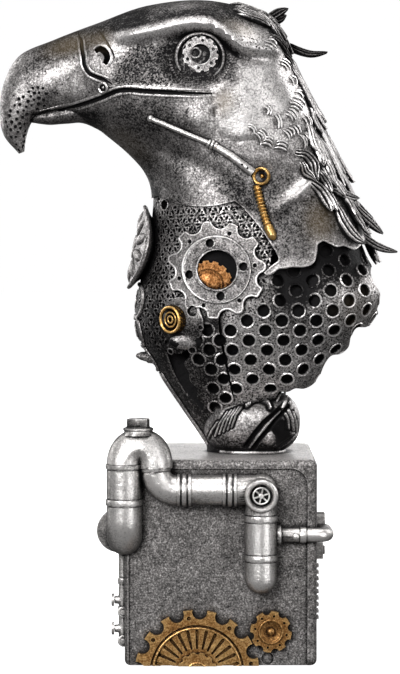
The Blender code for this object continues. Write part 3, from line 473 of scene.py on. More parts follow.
def rib_points(place, turn):
    """Points of the body at rib number place and angle turn (0 = outer line, pi = inner)."""
    row = blend_rows(RIBS, place)
    outer, inner, width, widest, power = row[:, :2], row[:, 2:4], row[:, 4], row[:, 5], row[:, 6]
    cosine, sine = np.cos(turn), np.sin(turn)
    along = (1 - np.sign(cosine) * np.abs(cosine) ** (2 / power)) / 2
    along = along ** (np.log(widest) / math.log(0.5))
    across = np.sign(sine) * np.abs(sine) ** (2 / power)
    flat = outer + (inner - outer) * along[:, None]
    return np.stack([flat[:, 0], width * across, flat[:, 1]], axis=1)


def distance_to_line(x, z, line):
    line = np.asarray(line, float)
    best = np.full(np.shape(x), 1e9)
    for a, b in zip(line[:-1], line[1:]):
        d = b - a
        t = np.clip(((x - a[0]) * d[0] + (z - a[1]) * d[1]) / (d @ d), 0, 1)
        best = np.minimum(best, np.hypot(x - a[0] - t * d[0], z - a[1] - t * d[1]))
    return best


def height_on(line, x):
    line = np.asarray(line, float)
    return np.interp(x, np.maximum.accumulate(line[:, 0]), line[:, 1])


def head_relief(x, z, flank):
    """Height of the head's forms over the plain body."""
    over = z - height_on(BROW, x)
    span = step_up(x, -56, -40) * step_down(x, 24, 33)
    ridge = 3.2 * span * np.where(over > 0, bump(over - 0.6, 6.0), bump(over - 0.6, 2.7))
    crease = -1.6 * bump(over + 4.2, 1.7) * step_up(x, -32, -22) * step_down(x, 14, 26)
    q = np.hypot((x - SOCKET[0]) / SOCKET[2], (z - SOCKET[1]) / SOCKET[3])
    socket = -SOCKET_DEPTH * step_down(q, 0.55, 1.2) * step_up(-over, -1.0, 2.0)
    lore = -2.2 * bump(np.hypot((x + 36) / 1.8, z - 297), 7.5) * step_up(-over, -1.0, 3.0)
    cheek = 2.0 * bump(np.hypot(x - 20, z - 275), 17.0)
    jaw = 2.2 * bump(np.hypot((x + 12) / 1.3, z - 264), 7.0)
    fold = -1.2 * bump(distance_to_line(x, z, FOLD), 1.7)
    roll = 0.8 * bump(distance_to_line(x, z, ((11, 246.5), (23, 246.0), (37, 242.5))), 3.0)
    hollow = -1.2 * bump(distance_to_line(x, z, ((22, 239), (38, 237.5))), 3.2)
    tendon = 2.0 * bump(distance_to_line(x, z, TENDON), 3.0)
    throat = -1.6 * bump(distance_to_line(x, z, ((-37, 252), (-14, 243), (6, 231), (15, 221))), 5)
    cere = 0.7 * step_up(x, -67, -64) * step_down(x, -56, -50) * step_up(z, 278, 284)
    return flank * (ridge + crease + socket + lore + cheek + jaw + fold + roll + hollow + tendon
                    + throat + cere)


def mantle_drop(x, z):
    """How far the mantle and collar lie below the skin's level."""
    edge = height_on(COLLAR_EDGE + LAPPET_EDGE + TORN_EDGE, x)
    near_tear = step_up(x, 10, 26) * step_down(edge - z, 2, 34)
    near_tear *= 1 - step_up(z, 186, 191) * step_down(x, 23, 28)
    covered = step_up(z - edge, 0.3, 2.4)
    return -np.maximum(0.9, 4.6 * np.maximum(near_tear, covered))


def body_grid(first, last, step, sides, relief):
    """Fine rings of the body between two ribs; relief(x, z, flank) moves the points out."""
    samples = 1200
    dense = np.linspace(first, last, samples)
    lines = [rib_points(dense, np.full(samples, a)) for a in (0, 1.5, math.pi)]
    run = np.max([np.linalg.norm(np.diff(p, axis=0), axis=1) for p in lines], axis=0)
    travelled = np.concatenate([[0], np.cumsum(run)])
    rows = int(travelled[-1] / step)
    place = np.interp(np.linspace(0, travelled[-1], rows), travelled, dense)
    points = rib_points(np.repeat(place, sides), np.tile(spread(sides), rows))
    grid = points.reshape(rows, sides, 3)
    along = np.gradient(grid, axis=0)
    around = np.roll(grid, -1, axis=1) - np.roll(grid, 1, axis=1)
    normals = np.cross(along, around).reshape(-1, 3)
    normals /= np.linalg.norm(normals, axis=1)[:, None] + 1e-9
    flank = np.clip(np.abs(normals[:, 1]) * 1.6 - 0.25, 0, 1)
    slender = np.clip(np.repeat(place, sides) / 6.0, 0, 1)
    height = relief(points[:, 0], points[:, 2], flank)
    verts = points + normals * (height * slender)[:, None]
    return verts, [face[::-1] for face in closed_faces(rows, sides)]


def tree_of(raw):
    """A search tree over a raw mesh, in millimetres."""
    verts, faces = raw
    return BVHTree.FromPolygons([Vector(v) for v in verts], faces)


def seen(tree, x, z, side, lift=0.0):
    """Point and normal of a surface at x, z in the side view, the point lifted by its normal."""
    hit, normal = tree.ray_cast(Vector((x, side * FAR, z)), Vector((0, -side, 0)))[:2]
    if hit is None:
        return None, None
    return np.array(hit + normal * lift), np.array(normal)


def along_flank(tree, line, side, lift=0.0, step=1.5):
    """A smooth side view line laid on a surface: points and normals."""
    points, normals = [], []
    for x, z in smooth(line, step):
        point, normal = seen(tree, x, z, side, lift)
        if point is not None:
            points.append(point)
            normals.append(normal)
    return np.array(points), np.array(normals)


# Steps between rings and points per ring: the coarse body that pieces are laid on, and the skins.
BASE_FINE, HEAD_FINE, NECK_FINE = (2.0, 120), (1.0, 210), (1.0, 190)
BASE = body_grid(0, LAST_RIB, *BASE_FINE, head_relief)
BASE_TREE = tree_of(BASE)


def blended(x, z, base, *layers):
    """Values built up from layers: a value and its mask, or a value and a blot's arguments."""
    for value, *mask in layers:
        base = base + (value - base) * (mask[0] if len(mask) == 1 else blot(x, z, *mask))
    return base


def paint(thing, tone, tint=None, tree=None, spots=None, reach=3.0, relief=None, sliced=None):
    """Stores what the finish reads: tone (0 dark, 1 bright; it holds painted shade and painted
    highlights along with the finish's own dark and light zones), tint (old brown), spots (pebbled
    skin) and relief, the height over the plain body in millimetres. Where sliced says so, a face
    was cut through the body and has no relief."""
    mesh = thing.data
    count = len(mesh.vertices)
    points = np.empty(count * 3)
    mesh.vertices.foreach_get("co", points)
    points = points.reshape(-1, 3) / MM
    if relief is None:
        relief = np.zeros(count)
    if tree:
        for i, point in enumerate(points):
            spot, normal, _, away = tree.find_nearest(Vector(point), reach)
            if spot is None:
                relief[i] = -reach
            else:
                relief[i] = away if (Vector(point) - spot).dot(normal) > 0 else -away
    if sliced:
        relief = np.where(sliced(points), 0.0, relief)
    for name, values in (("relief", relief), ("tone", tone(points)),
                         ("tint", tint(points) if tint else np.zeros(count)),
                         ("spots", spots(points) if spots else np.zeros(count))):
        layer = mesh.attributes.get(name) or mesh.attributes.new(name, "FLOAT", "POINT")
        layer.data.foreach_set("value", np.broadcast_to(values, count).astype(np.float32))
    return thing


def blot(x, z, at, size, stretch=1.0, lean=0.0):
    """A soft round mask, stretched along a direction given in degrees."""
    a = math.radians(lean)
    u = (x - at[0]) * math.cos(a) + (z - at[1]) * math.sin(a)
    v = (z - at[1]) * math.cos(a) - (x - at[0]) * math.sin(a)
    return np.exp(-((u / (size * stretch)) ** 2 + (v / size) ** 2) ** 1.3)


# Painted light and shade of the head, over its own darker and lighter zones such as the darker
# crown: painted highlights on the throat, jaw, cheek, tendon, upper lip, beak and brow ridge;
# painted shade behind the eye, round the curls, in the eye socket, under the brow and at the front
# edge of the throat.
def head_tone_and_painted_light(points):
    x, z = points[:, 0], points[:, 2]
    over = z - height_on(BROW, x)
    back = step_up(x, -60, -50)
    skin = distance_to_line(x, z, TORN_EDGE)
    eye = np.hypot((x - SOCKET[0]) / 19.0, (z - SOCKET[1]) / 14.5)
    return np.clip(blended(
        x, z, 0.34 + 0 * x,
        (0.20, step_down(z, 240, 262) * step_down(x, -24, -8)),
        (0.44, (-13, 233), 5, 1.9, -28),
        (0.05, (9, 227), 6, 2.2, -50),
        (0.08, (-30, 264), 9, 2.8, -14),
        (0.06, (-1, 252), 6, 2.2, -38),
        (0.62, (-9, 263), 5, 1.2, -60),
        (0.88, (21, 272), 25, 1.1, -60),
        (0.98, (8, 262), 8, 1.4, 20),
        (0.30, (9, 249), 3, 3.0, -12),
        (0.10, (5, 287), 4.5, 1.6, 70),
        (0.22, step_down(z, 230, 242) * step_up(x, 17, 26)),
        (1.0, (39, 231.5), 3.6, 3.2, 34),
        (0.60, bump(skin, 4.0) * step_up(x, 19, 24)),
        (0.10, np.max([blot(x, z, (cx, cz), 0.7 * size, 1.2, lean)
                       for cx, cz, lean, size, _ in CURLS], axis=0) * 0.85),
        (0.10, (-36, 289), 11, 2.4, 4),
        (0.80, blot(x, z, (-34, 279.6), 1.1, 18.0, -2) * step_down(x, -14, -8)),
        (0.42, step_down(x, -66, -60)),
        (0.72, (-79, 288), 3.6, 3.0, 32),
        (0.62, (-101, 268), 5, 2.4, 75),
        (0.62, (-72, 279), 4, 2.0, 10),
        (0.10, (-84, 276), 3.6, 1.7, 50),
        (0.08, step_up(z, 290 + (x + 75) * 0.45, 300 + (x + 75) * 0.45) * (1 - back)
         * step_up(x, -100, -88)),
        (-0.05, step_down(z, 267, 270) * step_down(x, -64, -52) * step_up(x, -94.5, -93)),
        (0.70, (-57, 293), 7, 1.2, -60),
        (1.0, bump(over - 0.6, 3.2) * back * step_down(x, 26, 34)),
        (-0.05, step_up(over, 3.4, 6.0) * back * step_down(x, 12, 24)),
        (0.30, (-20, 320), 4, 4.0, 4),
        (0.85, (-50, 300.5), 4, 1.5, -60),
        (1.0, (15, 303), 6, 2.2, -24),
        (-0.1, (31, 304), 7, 1.7, -50),
        # painted shade in the eye socket and in the crease under the brow
        (0.02, step_down(eye, 0.70, 1.15) * step_up(-over, 0.5, 2.5)),
        (-0.2, bump(over + 4.6, 1.5) * step_up(x, -28, -18) * step_down(x, 6, 16)),
        (-0.6, (-33, 227), 3.4),
    ), -1, 1)


def head_tint(points):
    """Brown and olive traces of the old patina."""
    x, z = points[:, 0], points[:, 2]
    return np.clip(blot(x, z, (2, 272), 5, 1.2, 70) + blot(x, z, (48, 214), 7, 1.4, -80)
                   + blot(x, z, (-73, 301), 5, 2.6, 12) + 0.8 * blot(x, z, (-57, 302), 5)
                   + 0.8 * blot(x, z, (10, 307), 3.5, 2.4, -20)
                   + 0.5 * blot(x, z, (-46, 252), 6, 2.0, -35), 0, 1)


def head_spots(points):
    x, z = points[:, 0], points[:, 2]
    lore = blot(x, z, (-36, 288), 10, 2.1, 3) * step_up(x, -54, -48) \
        * (1 - step_up(z - height_on(BROW, x), -7, -2))
    return np.maximum(lore, 0.6 * blot(x, z, (16, 300), 5, 2.4, -20))


def plain(thing, tone=0.5):
    """Finish attributes of a piece without a relief of its own."""
    return paint(thing, lambda points: tone + 0 * points[:, 0])


def column(outline, side, near=5.0):
    """A prism through one flank, from near the median plane outwards."""
    low, high = (near, FAR) if side < 0 else (-FAR, -near)
    return prism(outline, low, high, upright())


def ring_on(tree, centre, radius, wire, side, lift):
    """A wire ring laid on a surface round a side view centre."""
    path, normals = zip(*(seen(tree, x, z, side, lift) for x, z in circle(centre, radius, 64)))
    return tube(path, wire, 10, closed=True, flat=0.8, normals=normals)


def line_on(tree, line, radius, side, lift=0.0, sides=8, ends=0.2, flat=0.8, step=1.2):
    """A bar laid on a surface along a side view line, thinned out at both ends."""
    path, normals = along_flank(tree, line, side, lift, step)
    thickness = radius * tapered(len(path), ends, ends)
    return tube(path, thickness, sides, flat=flat, normals=normals)


def offset_line(line, distance):
    """A side view line shifted to its left."""
    line = np.asarray(line, float)
    run = unit(np.gradient(line, axis=0))
    return line + np.stack([-run[:, 1], run[:, 0]], axis=1) * distance


# ---------------------------------------------------------------- head
RNG = np.random.default_rng(7)
SKIN_LINE = np.vstack([smooth(COLLAR_EDGE[1:], 2), smooth(LAPPET_EDGE, 1.5)[1:],
                       smooth(TORN_EDGE, 1)[1:]])
SKIN_WINDOW = np.vstack([[(-150, 232)], SKIN_LINE, [(150, 214), (150, 400), (-150, 400)]])
# The corroded side of the beak and its tip, in side view.
PIT_FIELD = ((-100.5, 274.1), (-95.4, 278.8), (-89.8, 281.9), (-86.7, 280.0), (-84.7, 274.6),
             (-85.6, 271.5), (-91.5, 268.4), (-94.3, 262.2), (-96.9, 255.2), (-96.9, 250.0),
             (-99.2, 247.8), (-101.7, 252.6), (-105.1, 258.6), (-106.5, 264.8), (-103.9, 268.5))


def in_polygon(x, z, outline):
    outline = np.asarray(outline, float)
    inside = False
    for (x0, z0), (x1, z1) in zip(outline, np.roll(outline, -1, axis=0)):
        if (z0 > z) != (z1 > z) and x < (x1 - x0) * (z - z0) / (z1 - z0) + x0:
            inside = not inside
    return inside


PIT_TRIES = 6000
PIT_PITCH = 2.25
STRAY_PITS = 0.012         # share of the pits tried outside the field that stay


def beak_pits():
    """Side view centres and radii of the corroded pits of the beak."""
    found = []
    for _ in range(PIT_TRIES):
        x, z = RNG.uniform(-110, -70), RNG.uniform(246, 296)
        inside = in_polygon(x, z, PIT_FIELD)
        if not inside and RNG.random() > STRAY_PITS:
            continue
        radius = RNG.uniform(0.8, 1.1) if inside else RNG.uniform(0.4, 0.6)
        if all(np.hypot(x - a, z - b) > PIT_PITCH for a, b, _ in found):
            found.append((x, z, radius))
    return found


PITS = beak_pits()


def build_head():
    """The skin of the head and nape: mouth, cere and nostril with their lips, pits, rivets."""
    thing = temporary(body_grid(0, HEAD_END, *HEAD_FINE, head_relief), "head")
    within(thing, prism(SKIN_WINDOW, -FAR, FAR, upright()))
    lips, grooves, pits, bosses, rivets = [], [], [], [], []
    for side in SIDES:
        grooves += [line_on(BASE_TREE, MOUTH, 1.0, side, 0.2, ends=0.5, flat=1.3),
                    line_on(BASE_TREE, CERE, 1.0, side, 0.1, ends=0.3, flat=1.5),
                    line_on(BASE_TREE, CERE_BACK, 0.8, side, 0.1),
                    line_on(BASE_TREE, NOSTRIL, 1.75, side, 0.6, ends=0.8, flat=2.2)]
        for line, gap, radius in ((MOUTH, 1.7, 0.75), (MOUTH, -1.8, 0.8), (CERE, 1.5, 0.7),
                                  (CERE, -1.5, 0.75)):
            lips.append(line_on(BASE_TREE, offset_line(line, gap), radius, side, 0.0, flat=0.8))
        bosses.append(line_on(BASE_TREE, NOSTRIL, 3.0, side, 0.1, 14, ends=0.8, flat=0.4))
        edge = np.vstack([smooth(LAPPET_EDGE, 1.5)[4:], smooth(TORN_EDGE, 1.0)[1:]])
        bosses.append(line_on(BASE_TREE, edge, 0.75, side, -0.35, ends=0.5))
        point, normal = seen(BASE_TREE, *RIVET, side)
        rivets += [torus(point + normal * 0.5, normal, 2.3, 0.7, 28, 8),
                   ball(point + normal * 0.2, 0.8, 14, 10)]
        for x, z, radius in PITS:
            point, normal = seen(BASE_TREE, x, z, side)
            if point is not None and abs(normal[1]) > 0.3:
                pits.append(ball(point + normal * radius * 0.2, radius, 10, 7))
    chin = smooth([(x, 0.0, z) for x, z in MANDIBLE], 1.0)
    thick = np.interp(chin[:, 0], [x for x, _ in MANDIBLE], MANDIBLE_RADIUS)
    raw = tube(chin, thick, 36, normals=np.tile((0.0, 0.0, 1.0), (len(chin), 1)))
    add(thing, (raw[0] * (1, 1.7, 1), raw[1]))
    add(thing, *bosses)
    add_each(thing, lips)
    add(thing, *rivets)
    for raw in grooves:
        cut(thing, raw)
    cut(thing, *pits)
    return paint(thing, head_tone_and_painted_light, head_tint, BASE_TREE, head_spots, reach=9.0)


head = build_head()

# ---------------------------------------------------------------- mantle
LATTICE_ORIGIN = (20.6, 171.6)
LATTICE_COLUMN = 8.4       # between two columns of perforations
FRONT_COLUMN = 5.6         # the same on the narrow front part
LATTICE_PITCH = 9.65
LATTICE_LEAN = 0.10
BACK_TOP = 196             # height of the first row seen from behind
HOLE = 3.0
COLLAR_HOLE = (-27.4, 222.6)
PLATE = (-1.8, 191.4)
PLATE_RADIUS = 24.0
PORTHOLE_RADIUS = 9.6
LOWER_PLATE = ((-17.4, 177.6), (-12.0, 175.6), (-9.6, 169.8), (-8.4, 165.8), (-9.6, 159.5),
               (-12.6, 157.2), (-14.6, 153.8), (-18.0, 154.0), (-21.0, 152.2), (-24.0, 154.6),
               (-26.4, 159.0), (-29.0, 163.0), (-28.0, 171.0), (-23.0, 177.0))
# The broken edge of the mantle at the back, and the gap torn open at the front.
BROKEN_EDGE = ((28.8, 131.4), (33.0, 131.0), (36.6, 132.8), (41.4, 132.4), (45.8, 134.6),
               (49.0, 139.4), (51.0, 144.6), (54.2, 148.8), (59.2, 149.6), (63.0, 152.6),
               (63.8, 158.2), (67.0, 162.6), (72.0, 162.6), (76.4, 164.4), (78.0, 168.6),
               (77.0, 171.6), (78.4, 176.0), (77.8, 180.4), (75.0, 184.6), (73.6, 189.8),
               (75.6, 194.4), (76.0, 199.6))
MANTLE_WINDOW = np.vstack([[(-150, 60), (20, 60), (20, 112), (24, 121)], smooth(BROKEN_EDGE, 0.8),
                           [(84, 206), (150, 206), (150, 300), (-150, 300)]])
GAP = ((-26.0, 151.0), (-20.8, 150.0), (-16.1, 151.9), (-15.0, 148.6), (-17.8, 145.0),
       (-15.4, 140.9), (-14.8, 136.4), (-11.4, 132.6), (-11.2, 127.6), (-8.2, 124.4),
       (-8.4, 119.6), (-5.6, 114.6), (-8.0, 113.6), (-13.0, 122.5), (-19.0, 133.5),
       (-23.0, 141.0))
CREASE = ((-0.8, 171.0), (-0.2, 162.0), (1.4, 152.0), (4.0, 140.0), (7.0, 126.0))


def mantle_relief(x, z, flank):
    """Height of the mantle's forms over the plain body."""
    crease = -0.9 * bump(distance_to_line(x, z, CREASE), 1.6)
    bulge = 4.6 * bump(z - 137, 10) * step_up(x, 20, 36) + 1.0 * step_up(x, 50, 62)
    return head_relief(x, z, flank) + mantle_drop(x, z) + flank * crease + bulge


MANTLE = body_grid(MANTLE_START, LAST_RIB, *NECK_FINE, mantle_relief)
MANTLE_TREE = tree_of(MANTLE)


def holes_of_flank(side):
    """Centres and normals of the mantle's perforations on one flank."""
    found = []
    for column in range(-5, 11):
        for row in range(-7, 8):
            fall = (row + 0.5 * (column % 2)) * LATTICE_PITCH
            step = LATTICE_COLUMN if column >= -2 else FRONT_COLUMN
            x = LATTICE_ORIGIN[0] + LATTICE_LEAN * fall
            x += column * step if column >= -2 else -2 * LATTICE_COLUMN + (column + 2) * step
            z = LATTICE_ORIGIN[1] - fall
            edge = height_on(SKIN_LINE, x)
            if z > edge + (2 if x > 24 else -4) or x < -22 or z < 121:
                continue
            if (x < 0 and z > 170) or (x < 23 and z > 186):
                continue
            if np.hypot(x - PLATE[0], z - PLATE[1]) < PLATE_RADIUS + 2:
                continue
            if in_polygon(x, z, LOWER_PLATE) or x < -9 - (z - 140) * 0.35:
                continue
            if np.hypot(x - 17, (z - 112) * 1.2) < 22:
                continue
            point, normal = seen(MANTLE_TREE, x, z, side)
            if point is not None and abs(normal[1]) > 0.42:
                found.append((point, normal))
    return found


def holes_of_back(taken):
    """The perforations that show only from behind."""
    found = []
    for column in range(-5, 6):
        for row in range(-1, 10):
            y = column * LATTICE_COLUMN
            z = BACK_TOP - (row + 0.5 * (column % 2)) * LATTICE_PITCH
            hit, normal = MANTLE_TREE.ray_cast(Vector((FAR, y, z)), Vector((-1, 0, 0)))[:2]
            if hit is None or z > height_on(SKIN_LINE, hit.x) - 4 or z < 124:
                continue
            point, normal = np.array(hit), np.array(normal)
            if all(np.linalg.norm(point - other) > 7.8 for other, _ in taken + found):
                found.append((point, normal))
    return found


def build_mantle():
    """The perforated mantle with its collar, porthole wells and the torn gap at the front."""
    thing = temporary(MANTLE, "mantle")
    for side in SIDES:
        level = seen(MANTLE_TREE, *PLATE, side)[0][1] - side * 6.5
        cut(thing, drum((PLATE[0], level, PLATE[1]), (0, side, 0), PORTHOLE_RADIUS + 0.2, 30, 64))
        gap_floor = abs(seen(MANTLE_TREE, -19.0, 138.0, side)[0][1]) - 4.5
        cut(thing, column(smooth(GAP, 1.0, closed=True), side, gap_floor))
    sides = [hole for side in SIDES for hole in holes_of_flank(side)]
    holes = sides + holes_of_back(sides)
    cuts, rims = [], []
    for point, normal in holes:
        cuts.append(drum(point - normal * 3.2, normal, HOLE, 6.0, 24))
        rims.append(torus(point + normal * 0.05, normal, HOLE + 0.45, 0.5, 24, 5, 0.75))
    for side in SIDES:
        point, normal = seen(MANTLE_TREE, *COLLAR_HOLE, side)
        cuts.append(drum(point - normal * 2.4, normal, 2.3, 6.0, 20))
        rims.append(torus(point + normal * 0.05, normal, 2.7, 0.4, 24, 6, 0.75))
    add(thing, *rims)
    cut(thing, *cuts)
    for side in SIDES:
        cut(thing, line_on(MANTLE_TREE, CREASE, 0.75, side, 0.0, flat=2.4))
    return within(thing, prism(MANTLE_WINDOW, -FAR, FAR, upright()))


# Painted light and shade of the mantle, over its own lighter and darker zones: a painted shadow
# under the torn edge of the skin and painted shade at the front below the head.
def mantle_tone_and_painted_light(points):
    x, z = points[:, 0], points[:, 2]
    fall = height_on(SKIN_LINE, x) - z
    streak = np.sin(x * 1.7 + z * 0.9) * np.sin(z * 1.3 - x * 0.6)
    return np.clip(blended(
        x, z, 0.64 + 0.08 * streak,
        (0.85, (22, 157), 13, 1.6, 35),
        (0.0, (38, 182), 14, 1.8, 50),
        # painted shadow under the torn edge of the skin
        (-0.5, step_down(fall, 6, 24) * step_up(x, 20, 28)),
        (0.05, step_down(x, -2, 4) * step_down(z, 166, 172)),
        (0.24, step_up(z, 172, 180) * step_down(x, 18, 24)),
        (0.55, (-20, 190), 9, 2.7, 90),
        (0.02, (1 - step_up(x, -35 - (z - 200) * 0.1, -25 - (z - 200) * 0.1))
         * step_up(z, 150, 160)),
        (0.40, step_down(z, 112, 128) * step_up(x, -4, 2)),
    ), -1, 1)


def mantle_tint(points):
    x, z = points[:, 0], points[:, 2]
    return 0.5 * bump(np.hypot(x - 66, z - 172), 9)


mantle = build_mantle()


# ---------------------------------------------------------------- collar, cut with small flowers
FLOWER_PITCH = 5.2
FLOWER_START = np.array((-5.0, 200.0))
PETAL = ((-1.3, 0.0), (-0.85, -0.55), (0.0, -0.8), (0.85, -0.55))


def flower_cuts(side):
    """Slots on every edge of a triangular lattice and dots at the middle of its triangles."""
    cuts = []
    steps = [heading(a) for a in np.radians((4, 64, 124))]

    def wanted(x, z):
        if not (-52 < x < 31 and 104 < z < height_on(SKIN_LINE, x) - 1.4):
            return False
        if x > 21 and z < 193:
            return False
        if np.hypot(x - PLATE[0], z - PLATE[1]) < 19.0:
            return False
        beyond = x > PLATE[0] and z < PLATE[1] - 6
        low = z < 151 or (z < 160 and x > -26)
        return not (beyond or low or in_polygon(x, z, LOWER_PLATE) or (x > -9 and z < 172))

    def punch(at, turn=None):
        """A petal along turn, or a dot."""
        if not wanted(*at):
            return
        point, normal = seen(MANTLE_TREE, *at, side)
        if point is None or abs(normal[1]) < 0.16:
            return
        matrix = frame_at(point, normal)
        if turn is None:
            outline = circle((0, 0), 0.62, 8)
        else:
            x_axis, y_axis = (np.array(matrix)[:3, k] for k in (0, 1))
            along = np.array((turn[0], 0, turn[1]))
            ahead = heading(math.atan2(along @ y_axis, along @ x_axis))
            outline = np.vstack([PETAL, -np.array(PETAL)]) @ np.array((ahead, left_of(ahead)))
        cuts.append(prism(outline, -1.3, 2.0, matrix))

    for i in range(-14, 15):
        for j in range(-26, 27):
            corner = FLOWER_START + FLOWER_PITCH * (i * steps[0] + j * steps[1])
            for step in steps:
                punch(corner + step * FLOWER_PITCH / 2, step)
            for first, second in zip(steps[:2], steps[1:]):
                punch(corner + (first + second) * FLOWER_PITCH / 3)
    return cuts


# ---------------------------------------------------------------- plates of the neck
BEZEL_RADIUS = 16.2
PORTHOLE_DEPTH = 4.0
PLATE_SPAN = (8.8, 15.0)      # ribs between which the plates lie
# Round wells of the bezel, the gear plate and the lower plate: centre, radius, depth.
WELLS = [*((polar(PLATE, 12.9, math.radians(a)), 2.1, 2.4) for a in (102.8, 6.3, -80.6, 191.8)),
         *((polar(PLATE, 18.4, math.radians(a)), 1.05, 1.8)
           for a in (133.8, 70.3, 6.4, -53.6, -109.5, 194.3)),
         ((-13.4, 171.3), 2.6, 3.0), ((-9.5, 163.5), 1.0, 2.0), ((-24.0, 151.5), 1.2, 2.0),
         ((-13.5, 152.5), 1.6, 2.0)]


def lifted(rise):
    """The body's surface moved out evenly."""
    return body_grid(*PLATE_SPAN, *NECK_FINE,
                     lambda x, z, flank: head_relief(x, z, flank) + rise)


def build_plates():
    """The gear plate with its bezel, and the lower plate, on both flanks."""
    outline = notched(PLATE, 23.2, 11, 4.7, math.radians(86), 0.9, 12, 4)
    low_plate, high_plate, bezel = lifted(0.9), lifted(1.0), lifted(2.1)
    shapes = ((high_plate, outline), (bezel, circle(PLATE, BEZEL_RADIUS, 72)),
              (low_plate, smooth(LOWER_PLATE, 1.5, closed=True)))
    thing, *others = [within(temporary(surface, "plate"), column(shape, side))
                      for side in SIDES for surface, shape in shapes]
    for other in others:
        boolean(thing, "UNION", other)
    rims, cuts = [], []
    for side in SIDES:
        rims.append(line_on(BASE_TREE, outline[::2], 0.55, side, 0.95))
        rims.append(ring_on(BASE_TREE, PLATE, BEZEL_RADIUS - 0.4, 0.5, side, 1.95))
        rims.append(ring_on(BASE_TREE, PLATE, PORTHOLE_RADIUS + 0.7, 0.6, side, 2.05))
        for at, radius, depth in WELLS:
            point, normal = seen(BASE_TREE, *at, side)
            cuts.append(drum(point - normal * depth + normal * 0.9, normal, radius, depth + 4, 24))
            lift = 2.0 if np.hypot(at[0] - PLATE[0], at[1] - PLATE[1]) < BEZEL_RADIUS else 0.85
            rims.append(torus(point + normal * lift, normal, radius + 0.3, 0.36, 28, 6, 0.7))
        level = seen(BASE_TREE, *PLATE, side)[0][1] - side * PORTHOLE_DEPTH
        cuts.append(drum((PLATE[0], level, PLATE[1]), (0, side, 0), PORTHOLE_RADIUS, 16, 64))
        lobe, away = seen(BASE_TREE, -16.2, 156.4, side)
        rims.append(ball(lobe + away * 0.5, (8.6, 2.0, 3.9), 32, 16))
    add_each(thing, rims)
    cut(thing, *cuts)
    return paint(thing, plate_tone, None, tree_of(low_plate))


def plate_tone(points):
    """The bezel stands higher than the plate, which its relief already brightens."""
    away = np.hypot(points[:, 0] - PLATE[0], points[:, 2] - PLATE[1])
    low = step_up(points[:, 2], 164, 170)
    return (-0.04 + 0.44 * step_up(away, BEZEL_RADIUS - 0.6, BEZEL_RADIUS)) * low + 0.05 * (1 - low)


def taken(thing):
    """The raw mesh of an object, in millimetres; the object goes."""
    verts = np.array([v.co for v in thing.data.vertices]) / MM
    faces = [tuple(f.vertices) for f in thing.data.polygons]
    bpy.data.objects.remove(thing, do_unlink=True)
    return verts, faces


def mirrored(raw):
    """The raw mesh on the other flank."""
    verts = np.array(raw[0]) * (1, -1, 1)
    return verts, [face[::-1] for face in raw[1]]


def porthole_gear():
    """The copper gear with a domed boss, cut to the part that the porthole shows."""
    level = seen(BASE_TREE, *PLATE, -1)[0][1] + PORTHOLE_DEPTH
    centre = (PLATE[0] - 4.3, PLATE[1] - 7.6)
    face = level - 1.6
    gear = temporary(prism(notched(centre, 11.9, 15, 1.15, 0.2, 0.1, 8, 2), -level - 0.3, -face,
                           upright()), "gear")
    cut(gear, torus((centre[0], face, centre[1]), NEAR, 7.4, 0.5, 56, 8))
    add(gear, ball((centre[0], face + 0.4, centre[1]), (6.4, 1.7, 6.4), 40, 20))
    within(gear, drum((PLATE[0], -60, PLATE[1]), (0, 1, 0), PORTHOLE_RADIUS - 0.25, 60, 64))
    softened(gear, 0.18, 2, 45)
    return taken(gear)


def both_flanks(raw, name):
    """One object from a raw mesh of the near flank and its mirror image."""
    return temporary(merged(raw, mirrored(raw)), name)


def ring_seat():
    """The foot and the axis of the round instrument at the chest, on the near flank."""
    point, normal = seen(BASE_TREE, -23.1, 167.0, -1)
    normal = unit(normal + (-0.30, 0, 0))
    return point + normal * 0.4, normal


def copper_ring():
    """The round instrument: an outer ring, a dark dish and two inner rings."""
    foot, normal = ring_seat()
    ring = temporary(turned([(8.0, -5.0), (6.9, 1.6), (6.7, 2.2), (6.2, 2.5), (5.7, 2.3),
                             (5.4, 1.9), (5.3, 1.4)], frame_at(foot, normal), 56), "ring")
    cut(ring, drum(foot + normal * 0.8, normal, 5.4, 6, 48))
    add(ring, torus(foot + normal * 1.4, normal, 3.6, 0.5, 40, 10))
    add(ring, torus(foot + normal * 1.4, normal, 1.6, 0.55, 30, 10))
    return taken(ring)


def ring_tone(points):
    foot, normal = ring_seat()
    near = points * (1, 0, 1) - np.abs(points) * (0, 1, 0)
    return -0.4 + 1.0 * step_up((near - foot) @ normal, 1.2, 2.1)


# ---------------------------------------------------------------- linkage of the jaw
ROD = ((-33.7, 264.6), (-18.5, 258.2), (-3.7, 251.6))
ARM = ((-3.7, 251.6), (6.0, 245.6), (15.6, 238.1))
STRUT_RING = (19.5, 236.2)
SPRING = ((17.4, 232.0), (18.6, 227.0), (20.0, 222.0), (21.4, 217.0), (22.8, 212.4), (25.8, 205.7))


def linkage():
    """The thin rod along the jaw, its knuckle of three rings and the thicker arm."""
    rod = along_flank(BASE_TREE, ROD, -1, 0.9)
    arm = along_flank(BASE_TREE, ARM, -1, 1.0)
    thing = temporary(tube(rod[0], 1.3, 16), "linkage")
    add(thing, tube(arm[0], 1.6 + 0.5 * np.linspace(0, 1, len(arm[0])), 16, flat=0.8,
                    normals=arm[1]))
    knuckle, ahead = rod[0][-1], unit(rod[0][-1] - rod[0][-3])
    for offset, radius in ((-1.9, 2.0), (-0.2, 2.4), (1.5, 2.0)):
        add(thing, turned([(radius - 0.4, -0.75), (radius, -0.4), (radius, 0.4),
                           (radius - 0.4, 0.75)],
                          frame_at(knuckle + ahead * offset, ahead), 28))
    add(thing, ball(rod[0][0], 1.7, 18, 12))
    for at in ((10.4, 242.2), (13.0, 240.3)):
        point, normal = seen(BASE_TREE, *at, -1)
        cut(thing, drum(point + normal * 1.4, normal, 0.55, 4, 14))
    return taken(thing)


